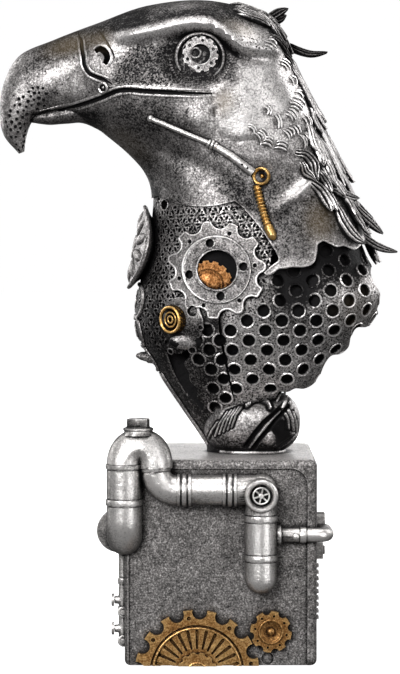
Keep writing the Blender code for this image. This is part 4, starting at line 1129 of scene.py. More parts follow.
def spring_strut():
    """The brass spring with its tilted ring and rounded foot."""
    point, normal = seen(BASE_TREE, *STRUT_RING, -1, 1.2)
    axis = unit(normal + (-0.55, 0, -0.25))
    path, normals = along_flank(BASE_TREE, SPRING, -1, 1.0, 0.25)
    travelled = travel(path)
    total = travelled[-1]
    ribs = 1.75 + 0.35 * np.cos(travelled * TAU / 1.75)
    foot = step_up(travelled, total * 0.70, total * 0.76)
    radius = ribs * (1 - foot) + 2.15 * foot
    radius = radius * np.sqrt(np.clip((total - travelled) / 2.2, 0.05, 1))
    thing = temporary(tube(path, radius, 20, normals=normals), "spring")
    add(thing, torus(point, axis, 3.7, 0.75, 48, 12, 1.8))
    add(thing, torus(point + axis * 1.2, axis, 3.85, 0.45, 48, 8))
    add(thing, ball(point - axis * 1.4, 1.2, 20, 12))
    return taken(thing)


# ---------------------------------------------------------------- eye
LENS = (-2.4, 0, 0.6)      # from the middle of the gear to the small tube


def eye_parts():
    """The lens of gears in the socket: bezel, knurls, toothed ring and tube."""
    at = np.array((EYE[0], seen(BASE_TREE, *EYE, -1)[0][1] - 0.2, EYE[1] - 2.4))
    middle = at + (0.3, 0, 1.5)
    out = unit((-0.10, -1.0, -0.06))
    thing = temporary(turned([(12.4, -4), (12.4, 0.6), (11.9, 1.3), (11.3, 1.5), (10.8, 1.2),
                              (10.5, 0.4)], frame_at(at, out), 72), "eye")
    cut(thing, drum(at - out * 1.8, out, 10.4, 8, 64))
    add(thing, torus(at - out * 0.4, out, 9.5, 0.4, 64, 8))
    matrix = frame_at(middle, out)
    add(thing, prism(notched((0, 0), 8.7, 12, 1.15, 0.1, 0.2, 8, 3), -1.9, 0.9, matrix))
    cut(thing, drum(middle - out * 1.2, out, 4.9, 8, 48))
    cut(thing, *(drum(np.array(matrix @ Vector((*polar((0, 0), 6.7, a), 0.1))), out, 0.85, 4, 12)
                 for a in 0.36 + np.arange(0, 12, 2) * TAU / 12))
    add(thing, torus(middle + out * 0.8, out, 5.1, 0.4, 56, 8))
    add(thing, torus(middle + out * 0.2 + LENS, out, 2.4, 0.6, 40, 10))
    add(thing, drum(middle - out * 1.3 + LENS, out, 2.7, 1.4, 36))
    cut(thing, drum(middle - out * 0.6 + LENS, out, 1.8, 6, 32))
    add(thing, ball(middle - out * 1.2 + (1.8, 0, -0.4), (2.6, 1.2, 2.9), 24, 14))
    softened(thing, 0.14, 2, 50)
    knurls = []
    for k in range(34):
        a = math.radians(-176 + k * 5.4)
        ends = [seen(BASE_TREE, at[0] + r * math.cos(a), at[2] + r * math.sin(a), -1, lift)[0]
                for r, lift in ((12.8, -1.4), (15.0, 0.0))]
        knurls.append(tube(ends, [0.55, 0.4], 6))
    return merged(taken(thing), *knurls)


def eye_tone(points):
    """Bright rings and gear, black grooves between them."""
    away = np.hypot(points[:, 0] - EYE[0], points[:, 2] - EYE[1] + 2.4)
    inner = np.hypot(points[:, 0] - EYE[0], points[:, 2] - EYE[1] + 0.9)
    return np.where(away > 10.7, 0.6, np.where(inner > 8.9, -0.9,
                                               np.where(inner > 4.9, 0.55, 0.30)))


# ---------------------------------------------------------------- medallion of the chest
MEDALLION = np.array((-41.3, 0.0, 201.6))
MEDALLION_AXIS = np.array((-0.98, 0, 0.199))
MEDALLION_BEND = 5.4       # how far its two sides lie back


def medallion():
    """A thin disc with leaves and a bright rim, facing forward, bent round the neck."""
    matrix = frame_at(MEDALLION, MEDALLION_AXIS)

    def bent(raw):
        verts = np.array(raw[0])
        verts[:, 0] += MEDALLION_BEND * (verts[:, 1] / 21.0) ** 2
        return verts, raw[1]

    thing = temporary(bent(turned([(13.0, -7.5), (17.0, -3.4), (20.4, -1.2), (21.2, -0.3),
                                   (21.2, 0.5), (20.6, 1.0), (19.8, 0.9), (19.2, 0.2),
                                   (17.0, 0.2), (12.0, 0.6), (7.0, 0.9), (6.2, 1.0), (5.6, 1.8),
                                   (4.0, 2.2), (1.0, 2.3)], matrix, 96)), "medallion")
    leaves = []
    for k in range(10):
        a = (k + 0.5) * TAU / 10
        ray = heading(a)
        path = np.array([matrix @ Vector((ray[0] * r, ray[1] * r, h)) for r, h in
                         ((6.8, 0.7), (9.5, 0.8), (12.5, 0.6), (15.5, 0.3), (18.2, 0.0))])
        leaves.append(bent(tube(path, (0.8, 2.0, 2.8, 2.5, 0.8), 16, flat=0.6,
                                normals=np.tile(MEDALLION_AXIS, (5, 1)))))
    add(thing, *leaves)
    return plain(thing, 0.46)


def frontal(y, z, lift=0.0):
    """Point and normal of the mantle at y, z seen from the front."""
    hit, normal = MANTLE_TREE.ray_cast(Vector((-FAR, y, z)), Vector((1, 0, 0)))[:2]
    return np.array(hit + normal * lift), np.array(normal)


def front_bar(line, radius, lift, closed=False):
    points, normals = zip(*(frontal(y, z, lift) for y, z in smooth(line, 1.5, closed)))
    thick = radius if closed else radius * tapered(len(points), 0.4, 0.4, 0.1)
    return tube(points, thick, 8, closed=closed, flat=0.8, normals=normals)


def chest_frames():
    """Framed panels under the medallion and bars that run down to the foot."""
    raws = []
    for low, high, half in ((168.0, 181.5, 11.0), (154.0, 166.0, 9.0), (142.0, 152.0, 7.0)):
        corners = ((-half, low), (half, low), (half * 1.05, high), (-half * 1.05, high))
        raws += [front_bar(corners, 1.0, 0.3, closed=True),
                 front_bar(((0, low + 1), (0, high - 1)), 0.7, 0.2),
                 torus(*frontal(0, (low + high) / 2, 0.3), 2.6, 0.6, 32, 8)]
    for side in SIDES:
        for offsets, radius in (((9, 7.5, 6, 5), 0.9), ((5.4, 4.2, 3.2, 2.6), 0.8)):
            line = [(side * y, z) for y, z in zip(offsets, (140, 130, 118, 104))]
            raws.append(front_bar(line, radius, 0.4))
    raws.append(turned([(3.2, -2), (3.2, 0.6), (2.6, 1.4), (2.0, 4.5), (0.9, 6.6), (0.3, 7.0)],
                       frame_at(frontal(0, 147.0)[0], (-0.93, 0, 0.1)), 24))
    return united("chest", *raws)


# ---------------------------------------------------------------- bud
BUD_CENTRE = np.array((15.5, 0.0, 114.8))
BUD_SIZE = np.array((24.3, 24.0, 16.6))
BUD_FOOT = 100.2           # level of the cut under the bud
# Lines of the side view: valleys and the ridge between them, strands, one leaf, tips of the tufts.
BUD_VALLEYS = (((34.0, 127.0), (27.5, 121.3), (21.1, 116.0), (16.3, 110.0), (12.5, 104.0)),
               ((33.5, 124.3), (27.9, 118.2), (23.7, 113.0), (19.6, 108.5), (15.6, 103.0)))
BUD_RIDGE = ((34.0, 125.6), (27.6, 119.8), (22.2, 114.6), (18.2, 109.6), (14.5, 104.0))
BUD_STRANDS = [((-2.6 + 2.0 * k, 109.0 + 1.2 * k), (-0.4 + 2.0 * k, 115.6 + 1.1 * k),
                (3.4 + 1.9 * k, 121.4 + 0.8 * k)) for k in range(5)] + [
    ((31.0, 122.4), (33.4, 117.6), (34.2, 112.4)), ((33.4, 122.6), (35.6, 117.4), (36.4, 111.6)),
    ((35.8, 120.8), (37.4, 116.0), (38.2, 110.8)), ((27.5, 101.8), (33.5, 105.0), (38.6, 109.4)),
    ((30.5, 101.4), (35.5, 103.6), (39.4, 106.8)), ((-6.4, 106.4), (-4.4, 111.6), (-1.4, 116.2))]
BUD_LEAF = ((12.6, 124.6), (16.0, 127.4), (20.0, 127.9), (23.6, 126.2), (24.6, 123.4))
BUD_TUFT = ((16.5, 130.5), (19.5, 132.4), (23.0, 133.4), (26.6, 133.2), (30.0, 131.6),
            (33.0, 128.8))


def bud_relief(x, z, front):
    """Folded petals: a sharp ridge between two valleys, and fine strands on the lobes."""
    height = 0 * x
    for valley in BUD_VALLEYS:
        height += -2.3 * bump(distance_to_line(x, z, valley), 0.95)
    height += 1.2 * bump(distance_to_line(x, z, BUD_RIDGE), 0.8)
    away = np.min([distance_to_line(x, z, strand) for strand in BUD_STRANDS], axis=0)
    height += 0.45 * bump(away, 0.5) - 0.8 * bump(away - 0.85, 0.4)
    leaf = distance_to_line(x, z, BUD_LEAF)
    height += 0.9 * bump(leaf, 0.7) - 1.0 * bump(leaf - 1.5, 0.7)
    height += -2.2 * blot(x, z, (29.5, 111.5), 4.2, 1.6, -70)
    height += 1.0 * blot(x, z, (25.5, 108.5), 2.6, 1.6, 50)
    return height * front * step_up(z, 99, 102)


def build_bud():
    """The folded bud at the foot, with a rim below and tufts on top."""
    sides, rings = 360, 170
    a = np.linspace(0.02, math.pi - 0.02, rings)
    turn = spread(sides)
    sphere = np.stack([np.sin(a)[:, None] * np.cos(turn), np.sin(a)[:, None] * np.sin(turn),
                       -np.cos(a)[:, None] + 0 * turn], axis=2).reshape(-1, 3)
    plump = np.sign(sphere) * np.abs(sphere) ** (2 / 2.5)
    points = BUD_CENTRE + plump * BUD_SIZE
    normals = unit(np.sign(sphere) * np.abs(plump) ** 1.5 / BUD_SIZE)
    front = step_up(np.abs(normals[:, 1]), 0.05, 0.4)
    lift = bud_relief(points[:, 0], points[:, 2], front)
    faces = closed_faces(rings, sides)
    thing = temporary((points + normals * lift[:, None], faces), "bud")
    cut(thing, block((-60, -60, 60), (60, 60, BUD_FOOT)))
    tree = tree_of((points, faces))
    rim = circle((0, 0), 1.0, 72)
    foot = np.sign(rim) * np.abs(rim * 0.60) ** 0.8 * BUD_SIZE[:2] + BUD_CENTRE[:2]
    add(thing, tube(np.c_[foot, np.full(72, BUD_FOOT + 0.3)], 1.3, 10, closed=True))
    for side in SIDES:
        for tip in BUD_TUFT:
            start, normal = seen(tree, tip[0] - 2.4, tip[1] - 5.6, side, -0.5)
            end = np.array((tip[0], start[1] * 0.78, tip[1]))
            path = smooth([start, (start + end) / 2 + normal * 1.0, end], 1.0)
            add(thing, tube(path, 1.1 * tapered(len(path), 0.6, 0.25, 0.8), 8))
    return paint(thing, bud_tone_and_painted_light, None, tree)


# A painted highlight on the bright lobe; brighter along the ridge, darker towards the bottom and on
# top at the tufts, the rim at the foot bright.
def bud_tone_and_painted_light(points):
    x, z = points[:, 0], points[:, 2]
    return np.clip(blended(
        x, z, 0.36 + 0 * x,
        (0.50, (5, 118), 5, 1.3, 55),
        (0.58, (16.4, 120.2), 6.5, 1.25, 20),
        (0.82, (26.2, 114.2), 3.4, 1.6, 62),
        (0.55, bump(distance_to_line(x, z, BUD_RIDGE), 1.2)),
        (0.45, step_up(x, 30, 35)),
        (0.02, step_down(z, 104, 111)),
        (-0.6, step_up(z, 125.5, 128)),
        (1.0, step_down(z, 101.4, 102.0)),
    ), 0, 1)


# ---------------------------------------------------------------- feather locks
# Root rib and turn, tip rib and turn (degrees from the outer line), lift of the tip, width.
LOCKS = (
    (10.0, 13, 10.9, 13, 3.5, 6.0), (9.9, 20, 11.0, 19, 2.6, 6.0), (10.9, 9, 11.9, 8, 4.0, 6.5),
)
# Locks laid on the flank: side view line, width, lift of the tip.
FLANK_LOCKS = (
    (((36.3, 248.2), (41.4, 246.6), (45.0, 241.9), (46.1, 234.9)), 6.0, 1.6),
    (((39.4, 243.4), (41.2, 238.6), (45.0, 234.2)), 4.6, 2.0),
    (((44.2, 234.0), (48.9, 228.8), (51.7, 223.2), (52.4, 218.8)), 7.0, 2.2),
    (((49.5, 230.5), (53.0, 225.5), (55.0, 219.0)), 5.0, 2.6),
    (((55.6, 223.4), (59.2, 214.6), (63.4, 207.6), (68.0, 202.8)), 7.2, 3.0),
    (((52.6, 231.2), (58.2, 228.0), (64.8, 224.3), (69.0, 223.0)), 5.0, 3.6),
    (((54.0, 236.0), (58.6, 229.5), (62.0, 223.0), (63.0, 217.0)), 6.0, 2.8),
    (((59.0, 228.0), (63.5, 221.0), (67.0, 213.0), (69.6, 207.0)), 6.0, 3.2),
    (((47.0, 239.0), (50.5, 234.0), (52.4, 228.0)), 5.0, 2.4),
    (((42.6, 262.0), (44.4, 254.0), (46.8, 247.0)), 5.0, 1.6),
    (((45.6, 256.0), (48.2, 248.0), (49.4, 240.0)), 5.5, 2.0),
    (((49.0, 247.0), (52.6, 239.0), (55.0, 231.0)), 5.5, 2.4),
    (((43.6, 271.0), (45.6, 264.0), (48.6, 257.0)), 4.4, 1.4),
    (((50.5, 240.0), (55.2, 233.0), (58.6, 226.0)), 5.5, 2.6),
    (((40.6, 282.0), (42.8, 275.0), (46.0, 268.0)), 4.0, 1.2),
    (((24.0, 305.0), (29.5, 300.5), (33.4, 294.0)), 4.6, 1.0),
    (((26.5, 309.0), (33.0, 303.0), (37.0, 296.0)), 4.6, 1.2),
    (((31.0, 297.0), (34.6, 291.5), (36.6, 286.0)), 4.0, 1.0),
)
# Free tips: points of one flank (mirrored on the other), width.
FREE_LOCKS = (
    (((62.0, -12.0, 225.5), (69.4, -12.0, 218.3), (75.0, -11.0, 213.4), (80.2, -9.0, 208.2)), 4.8),
    (((61.0, -7.0, 230.0), (66.0, -8.0, 223.5), (71.5, -8.0, 218.4), (75.5, -7.0, 215.4)), 4.4),
    (((62.5, -14.0, 213.5), (71.3, -13.0, 206.0), (78.8, -11.0, 201.7), (87.2, -9.0, 199.2)), 4.6),
    (((21.0, -4.0, 312.2), (26.0, -4.0, 315.6), (30.0, -4.0, 317.9), (33.4, -3.5, 318.9)), 4.8),
    (((24.0, -3.0, 311.5), (29.0, -3.0, 314.2), (32.6, -3.0, 315.6)), 4.0),
    (((31.0, -3.0, 302.4), (38.0, -3.0, 298.9), (45.0, -3.0, 297.0), (52.8, -2.5, 297.6)), 3.3),
)
HAIR_RIBS = (7.9, 12.6, 0.22)     # first and last row of the locks and the step between rows
CROWN_END = 9.6                   # the rib where the crown's shorter locks end
CROWN_REACH, NAPE_REACH = 50, 44  # degrees that a row reaches to either side
HAIR_GAP = 8.0                    # degrees between two locks of a row
# Foremost x of the hair for each height, in side view.
HAIR_FRONT = ((218.5, 50.8), (224.1, 46.1), (232.5, 41.4), (238.1, 39.6), (247.5, 37.8),
              (258.7, 40.6), (262.4, 45.2), (268.0, 45.2), (280.1, 42.0), (291.3, 38.6),
              (297.8, 31.2), (303.4, 26.4), (309.0, 19.0), (315.0, 9.0), (319.0, 3.0))


def combed(middle, out, width, strands=3, crown=1.6, power=4):
    """A leaf-shaped lock of combed strands along a path: the raw mesh and its relief values."""
    steps = len(middle)
    t = np.linspace(0, 1, steps)
    across = unit(np.cross(unit(np.gradient(middle, axis=0)), out))
    columns = 4 * strands + 1
    c = np.linspace(-1, 1, columns)
    half = width / 2 * (0.6 + 0.9 * t) * (1 - t ** power) + 0.25
    comb = 0.5 - 0.5 * np.cos(math.pi * strands * (c + 1))
    top = np.sqrt(np.clip(1 - c ** 2, 0, 1)) * crown + comb * 1.1 - 0.4
    top = top[None, :] * ((1 - 0.55 * t) * np.clip(0.2 + t / 0.25, 0, 1))[:, None]
    keel = 2.4 * (1 - t) + 0.35
    upper = middle[:, None] + across[:, None] * (half[:, None] * -c)[:, :, None] \
        + out[:, None] * top[:, :, None]
    lower = middle[:, None] + across[:, None] * (half[:, None] * c[2:-2:4])[:, :, None] \
        - out[:, None] * keel[:, None, None]
    rings = np.concatenate([upper, lower], axis=1)
    sides = rings.shape[1]
    faces = [face[::-1] for face in closed_faces(steps, sides)]
    depth = np.concatenate([1.9 * comb - 1.2, np.full(sides - columns, -1.0)])
    return (rings.reshape(-1, 3), faces), np.tile(depth, steps)


def lock(rib_a, turn_a, rib_b, turn_b, rise, width, strands, bow, steps, crown, power=1.7,
         sway=0.0):
    """A lock that leaves the body towards its tip."""
    t = np.linspace(0, 1, steps)
    place = rib_a + (rib_b - rib_a) * t
    turn = np.radians(turn_a + (turn_b - turn_a) * t + bow * np.sin(math.pi * t)
                      + sway * np.sin(TAU * t))
    base = rib_points(place, turn)
    out = unit(np.cross(rib_points(place + 0.05, turn) - base,
                        rib_points(place, turn + 0.05) - base))
    return combed(base + out * (rise * t ** power)[:, None], out, width, strands, crown)


def flank_lock(line, side, width, rise):
    points, normals = along_flank(BASE_TREE, line, side, -0.2, 1.2)
    t = np.linspace(0, 1, len(points))
    return combed(points + normals * (rise * t ** 1.6)[:, None], normals, width, 3, 1.7)


def free_lock(points, side, width):
    middle = smooth(np.array(points) * (1, -side, 1), 1.5)
    out = np.tile((0.25, 0.85 * side, 0.45), (len(middle), 1))
    return combed(middle, out / np.linalg.norm(out[0]), width, 3, 1.6, 3.5)


def hair():
    """Overlapping rows of locks from the crown down the nape, and the large tips."""
    rng = np.random.default_rng(11)
    made = []
    front = np.array(HAIR_FRONT)
    for row, rib in enumerate(np.arange(*HAIR_RIBS)):
        crown = rib < CROWN_END
        reach = CROWN_REACH if crown else NAPE_REACH
        start = -reach + (HAIR_GAP / 2 if row % 2 else 0)
        for turn in np.arange(start, reach + 0.1, HAIR_GAP):
            side = math.copysign(1, turn)
            length = rng.uniform(0.6, 1.0) * (0.8 if crown else 1.0)
            shape = (rib + rng.uniform(-0.1, 0.1), turn + rng.uniform(-2, 2), rib + length,
                     turn * 0.97 + side * rng.uniform(-3, 6),
                     rng.uniform(0.8, 2.0) if crown else rng.uniform(0.8, 2.6),
                     rng.uniform(3.6, 5.4), 3, side * rng.uniform(-3, 5), 11, 1.5, 1.5,
                     rng.uniform(-2, 2))
            ends = rib_points(np.array((shape[0], min(shape[2], 13.0))),
                              np.radians((shape[1], shape[3])))
            inside = ends[:, 0] >= np.interp(ends[:, 2], front[:, 0], front[:, 1]) - 0.5
            if inside.all() and (ends[1, 2] > 229 or abs(turn) < 16):
                made.append(lock(*shape))
    for rib_a, turn_a, rib_b, turn_b, rise, width in LOCKS:
        for side in SIDES:
            made.append(lock(rib_a, side * turn_a, rib_b, side * turn_b, rise, width, 4,
                             side * rng.uniform(-2, 2), 18, 2.0))
    for side in SIDES:
        made += [flank_lock(line, side, width, rise) for line, width, rise in FLANK_LOCKS]
        made += [free_lock(points, side, width) for points, width in FREE_LOCKS]
    thing = temporary(merged(*(raw for raw, _ in made)), "hair")
    return paint(thing, lock_tone, relief=np.concatenate([depth for _, depth in made]))


def lock_tone(points):
    x, z = points[:, 0], points[:, 2]
    return np.clip(blended(
        x, z, 0.42 + 0 * x,
        (0.0, step_up(z, 290, 298)),
        (-0.1, (33, 298), 8),
        (0.55, step_down(z, 232, 240)),
        (0.80, bump(x - np.interp(z, (225, 240, 272, 294), (68, 60, 49, 39)), 7)
         * step_down(z, 288, 296) * step_up(z, 226, 234)),
    ), -1, 1)


def curls():
    """Short curved strokes of down on the cheek and temple."""
    rng = np.random.default_rng(5)
    raws = []
    for side in SIDES:
        for x, z, degrees, size, strokes in CURLS:
            along = heading(math.radians(degrees))
            across = left_of(along)
            for k in range(strokes):
                place = k - (strokes - 1) / 2
                reach = size * rng.uniform(0.7, 1.05)
                bend = rng.uniform(0.7, 1.5)
                line = [np.array((x, z)) + along * (t * reach + rng.uniform(-0.2, 0.2))
                        + across * (place * 1.5 + bend * (1 - t * t)) for t in
                        np.linspace(-1, 1, 5)]
                raws.append(line_on(BASE_TREE, line, rng.uniform(0.5, 0.65), side, 0.15, 6,
                                    0.25, 0.9, 0.8))
    return plain(temporary(merged(*raws), "curls"), 0.62)


plates = build_plates()
gears_inside = both_flanks(porthole_gear(), "porthole_gears")
copper = both_flanks(copper_ring(), "copper_rings")
links = both_flanks(linkage(), "linkage")
springs = both_flanks(spring_strut(), "springs")
eyes = both_flanks(eye_parts(), "eyes")
brooch = medallion()
chest = chest_frames()
bud = build_bud()
locks = hair()
strokes = curls()
for side in SIDES:
    cut(mantle, *flower_cuts(side))
paint(mantle, mantle_tone_and_painted_light, mantle_tint, MANTLE_TREE, lambda points: 0.5 + 0 * points[:, 0],
      sliced=lambda points: distance_to_line(points[:, 0], points[:, 2],
                                             smooth(BROKEN_EDGE, 0.8)) < 0.3)


# ---------------------------------------------------------------- plinth
def rounded_panel(left, right, low, high, corner):
    """A rounded rectangle in side view, anticlockwise."""
    outline, steps = [], 8
    for cx, cz, first in ((right - corner, high - corner, 0), (left + corner, high - corner, 1),
                          (left + corner, low + corner, 2), (right - corner, low + corner, 3)):
        for k in range(steps):
            angle = (first + k / (steps - 1)) * math.pi / 2
            outline.append((cx + corner * math.cos(angle), cz + corner * math.sin(angle)))
    return np.array(outline)


PLINTH_LOW, PLINTH_HIGH = place_of("plinth")[:2]
HALF = PLINTH_HIGH[0]
TOP = PLINTH_HIGH[2]
PANEL_DEPTH = 1.4
PANEL = -HALF + PANEL_DEPTH       # y of the front panel


def build_plinth():
    """The cube with rimmed panels; the front panel is wider and runs out at the foot."""
    thing = temporary(block(PLINTH_LOW, PLINTH_HIGH), "plinth")
    softened(thing, 2.8, 5, 60)
    for quarter in range(4):
        front = quarter == 0
        left, right = (-HALF + 2.0, HALF - 4.6) if front else (-HALF + 4.0, HALF - 4.0)
        low = -20.0 if front else 4.0
        turn = Matrix.Rotation(quarter * math.pi / 2, 4, "Z") @ upright()
        window = rounded_panel(left, right, low, TOP - 4.2, 8.0)
        cut(thing, prism(window, HALF - PANEL_DEPTH, HALF + 5, turn))
    foot, groove = (DROP_X, PIPE_Y, DROP_END + DROP_RADIUS), DROP_RADIUS + 0.7
    cut(thing, drum(foot, UP, groove, 34, 40))
    cut(thing, ball(foot, groove, 40, 24))
    cut(thing, drum((22.7, PANEL + 1.2, 3.5), NEAR, 3.0, 5, 28))
    for x, z in ((36.5, 36.5), (37.0, 88.0)):
        add(thing, ball((x, PANEL, z), (0.8, 0.5, 0.8), 14, 10))
    return softened(thing, 0.7, 3, 40)


# ---------------------------------------------------------------- pipes
PIPE_LEFT, PIPE_RIGHT = -46.4, -31.5     # x of the two legs of the U bend
PIPE_RADIUS = 8.4
PIPE_SHOULDER = 98.0
CROSS_RADIUS = 7.2
CROSS_LEVEL = 86.0
DROP_X = 19.2
DROP_RADIUS = 7.7
DROP_END = 36.0
BRANCH_LEVEL = 64.0
BRANCH_RADIUS = 3.4
PIPE_Y = -HALF - 5.6
DOME_X = (PIPE_LEFT + PIPE_RIGHT) / 2
VALVE = (DROP_X, CROSS_LEVEL - 2.0)

THIN_COLLAR = ((-2.1, 0.0), (-1.9, -0.25), (-1.6, -0.25), (-1.4, 0.35), (-0.6, 0.5), (0.6, 0.5),
               (1.4, 0.35), (1.6, -0.25), (1.9, -0.25), (2.1, 0.0))
TRIPLE_COLLAR = ((-3.6, 0.0), (-3.3, 0.55), (-2.6, 0.7), (-2.0, 0.45), (-1.7, -0.3), (-1.3, -0.3),
                 (-1.0, 0.5), (0.0, 0.85), (1.0, 0.5), (1.3, -0.3), (1.7, -0.3), (2.0, 0.45),
                 (2.6, 0.7), (3.3, 0.55), (3.6, 0.0))


def arc(centre, start, end):
    """Points of a quarter bend: start and end are the two half axes that span it."""
    return [np.array(centre) + np.array(start) * math.cos(a) + np.array(end) * math.sin(a)
            for a in np.radians(np.linspace(0, 90, 18))]


def pipe(path, radius, collars=(), rounded=(), sides=40):
    """A pipe along a path. Collars are (distance, profile); ends named in rounded are domes."""
    path = np.asarray(path, float)
    travelled = travel(path)
    total = travelled[-1]
    marks = [(t, 0.0) for t in travelled]
    for at, profile in collars:
        marks = [m for m in marks if abs(m[0] - at) > profile[-1][0]]
        marks += [(at + offset, rise) for offset, rise in profile]
    marks = [(at, radius + rise) for at, rise in marks if -1e-6 <= at <= total + 1e-6]
    caps = np.radians(np.linspace(12, 84, 9))
    if "start" in rounded:
        marks += [(-radius * math.sin(a), radius * math.cos(a)) for a in caps]
    if "end" in rounded:
        marks += [(total + radius * math.sin(a), radius * math.cos(a)) for a in caps]
    marks.sort()
    points = []
    for at, _ in marks:
        k = min(max(int(np.searchsorted(travelled, at, side="right")) - 1, 0), len(path) - 2)
        run = path[k + 1] - path[k]
        points.append(path[k] + run / np.linalg.norm(run) * (at - travelled[k]))
    return tube(points, [r for _, r in marks], sides)


def dome():
    """The crown of the U bend: two legs at its foot that run together into one cap."""
    count, rows, height = 72, 22, 17.4
    angle = spread(count)
    half_gap = (PIPE_RIGHT - PIPE_LEFT) / 2
    legs = half_gap * np.abs(np.cos(angle)) \
        + np.sqrt(PIPE_RADIUS ** 2 - (half_gap * np.sin(angle)) ** 2)
    wide, deep = half_gap + PIPE_RADIUS, PIPE_RADIUS + 0.6
    oval = wide * deep / np.hypot(deep * np.cos(angle), wide * np.sin(angle))
    verts = []
    for t in np.linspace(-0.06, 0.985, rows):
        h = height * math.sin(max(t, 0) * math.pi / 2) + min(t, 0) * height
        share = math.cos(max(t, 0) * math.pi / 2) ** 0.85
        w = float(step_up(h, 1.0, 9.0))
        r = share * ((1 - w) * legs + w * oval)
        verts.append(np.stack([DOME_X + r * np.cos(angle), PIPE_Y + r * np.sin(angle),
                               np.full(count, PIPE_SHOULDER + h)], axis=1))
    return np.vstack(verts), closed_faces(rows, count)


def build_pipes():
    """The pipework of the front: the U bend, the cross and drop pipes, the branch, the valve."""
    y, bend = PIPE_Y, 10.0
    left = [(PIPE_LEFT, y + 26, 62), *arc((PIPE_LEFT, y + 10, 72), (0, 0, -10), (0, -10, 0)),
            (PIPE_LEFT, y, 80), (PIPE_LEFT, y, PIPE_SHOULDER + 1)]
    cross = [(PIPE_RIGHT, y, PIPE_SHOULDER + 1),
             *arc((PIPE_RIGHT + bend, y, CROSS_LEVEL + bend), (-bend, 0, 0), (0, 0, -bend)),
             (0, y, CROSS_LEVEL), (DROP_X, y, CROSS_LEVEL)]
    drop = [(DROP_X, y, CROSS_LEVEL), (DROP_X, y, 60), (DROP_X, y, DROP_END + DROP_RADIUS)]
    leg = pipe(left, PIPE_RADIUS, ((40.0, THIN_COLLAR), (57.6, THIN_COLLAR)))
    across = pipe(cross, CROSS_RADIUS, ((2.2, THIN_COLLAR), (22.6, TRIPLE_COLLAR),
                                        (44.5, TRIPLE_COLLAR)))
    down = pipe(drop, DROP_RADIUS, ((13.5, THIN_COLLAR), (32.5, THIN_COLLAR)), ("start", "end"))
    by, corner = -HALF - 2.2, 4.6
    bx = HALF + corner
    branch = [(DROP_X + 2, by, BRANCH_LEVEL), (36, by, BRANCH_LEVEL),
              *arc((bx - corner, by + corner, BRANCH_LEVEL), (0, -corner, 0), (corner, 0, 0)),
              (bx, by + 16, BRANCH_LEVEL), (bx - 6, by + 22, BRANCH_LEVEL)]
    thin = pipe(branch, BRANCH_RADIUS, ((18.4, THIN_COLLAR),), sides=28)
    cap_x = DOME_X - 0.6
    nut = prism(circle((0, 0), 5.7, 6, 0.3), 0, 4.3, frame_at((cap_x, y, 116.2), UP))
    thing = united(
        "pipe_run", leg, across, down, thin, dome(),
        ball((DROP_X, y, CROSS_LEVEL), CROSS_RADIUS + 0.3, 36, 20),
        turned([(7.6, 112.6), (6.8, 114.2), (6.8, 114.7), (7.3, 115.1), (7.3, 115.7), (6.9, 116.1),
                (6.2, 116.2), (5.8, 116.6)], Matrix.Translation((cap_x, y, 0)), 40),
        nut,
        drum((DROP_X + 8.0, by, BRANCH_LEVEL), (1, 0, 0), 4.9, 1.9, 32, 0.5),
        ball((36.0, by - BRANCH_RADIUS, BRANCH_LEVEL - 0.4), (1.7, 1.0, 1.7), 18, 12),
        turned([(8.2, 0), (8.2, 12.2), (7.9, 13.2), (7.2, 13.9), (6.5, 13.9), (5.8, 13.2),
                (5.4, 12.2), (5.4, 11.0)], frame_at((VALVE[0], y + 4, VALVE[1]), NEAR), 44),
    )
    cut(thing, drum((VALVE[0], y - 5.8, VALVE[1]), NEAR, 5.3, 12, 40))
    cut(thing, block((cap_x - 6, y - 1.3, 119.2), (cap_x + 6, y + 1.3, 123)))
    softened(thing, 0.3, 2, 50)
    wheel_at = np.array((VALVE[0], y - 7.2, VALVE[1]))
    add(thing, torus(wheel_at, NEAR, 3.9, 0.55, 40, 10))
    add(thing, drum(wheel_at + (0, 1.8, 0), NEAR, 1.3, 3.0, 20, 0.4))
    for k in range(6):
        a = k * TAU / 6 + 0.3
        spoke = np.array((math.cos(a), 0, math.sin(a)))
        add(thing, tube([wheel_at + spoke * 0.6, wheel_at + spoke * 4.0], [0.55, 0.45], 8))
    return thing


def build_flange():
    """The hand wheel that lies against the bend on the left face."""
    at = np.array((PIPE_LEFT - 3.0, PIPE_Y + 12.0, 65.0))
    thing = united("flange", turned([(10.4, 0), (10.6, 0.6), (10.6, 3.2), (9.9, 4.0), (8.6, 4.0),
                                     (8.0, 3.0), (5.0, 3.0), (4.4, 4.0), (2.2, 4.4)],
                                    frame_at(at, (0, 1, 0)), 48))
    add(thing, *(drum(at + (9.0 * math.cos(a), 2.0, 9.0 * math.sin(a)), (0, 1, 0), 0.9, 2.6, 14,
                      0.3) for a in spread(10)))
    return softened(thing, 0.25, 2, 45)


def build_side_pipe():
    """The standing pipe on the left face, with two small valves."""
    low, high = place_of("side_pipe")[:2]
    x, y = -HALF - 0.8, -HALF + 9.0
    thing = temporary(pipe([(x, y, low[2] + 2.3), (x, y, 20), (x, y, high[2] + 2)], 2.3,
                           ((16.0, THIN_COLLAR), (30.0, THIN_COLLAR)), ("start",), 26), "side_pipe")
    for level in (31.0, 17.0):
        add_each(thing, (drum((x + 1, y, level), (-1, 0, 0), 2.3, 5.2, 20, 0.4, 1.9),
                         drum((x - 4.4, y, level), (-1, 0, 0), 3.1, 1.3, 12, 0.4),
                         drum((x, y + 1, level - 5.5), NEAR, 2.7, 5.4, 20, 0.5),
                         drum((x, y - 4.0, level - 5.5), NEAR, 1.3, 1.4, 6, 0.2)))
    return softened(thing, 0.2, 2, 50)


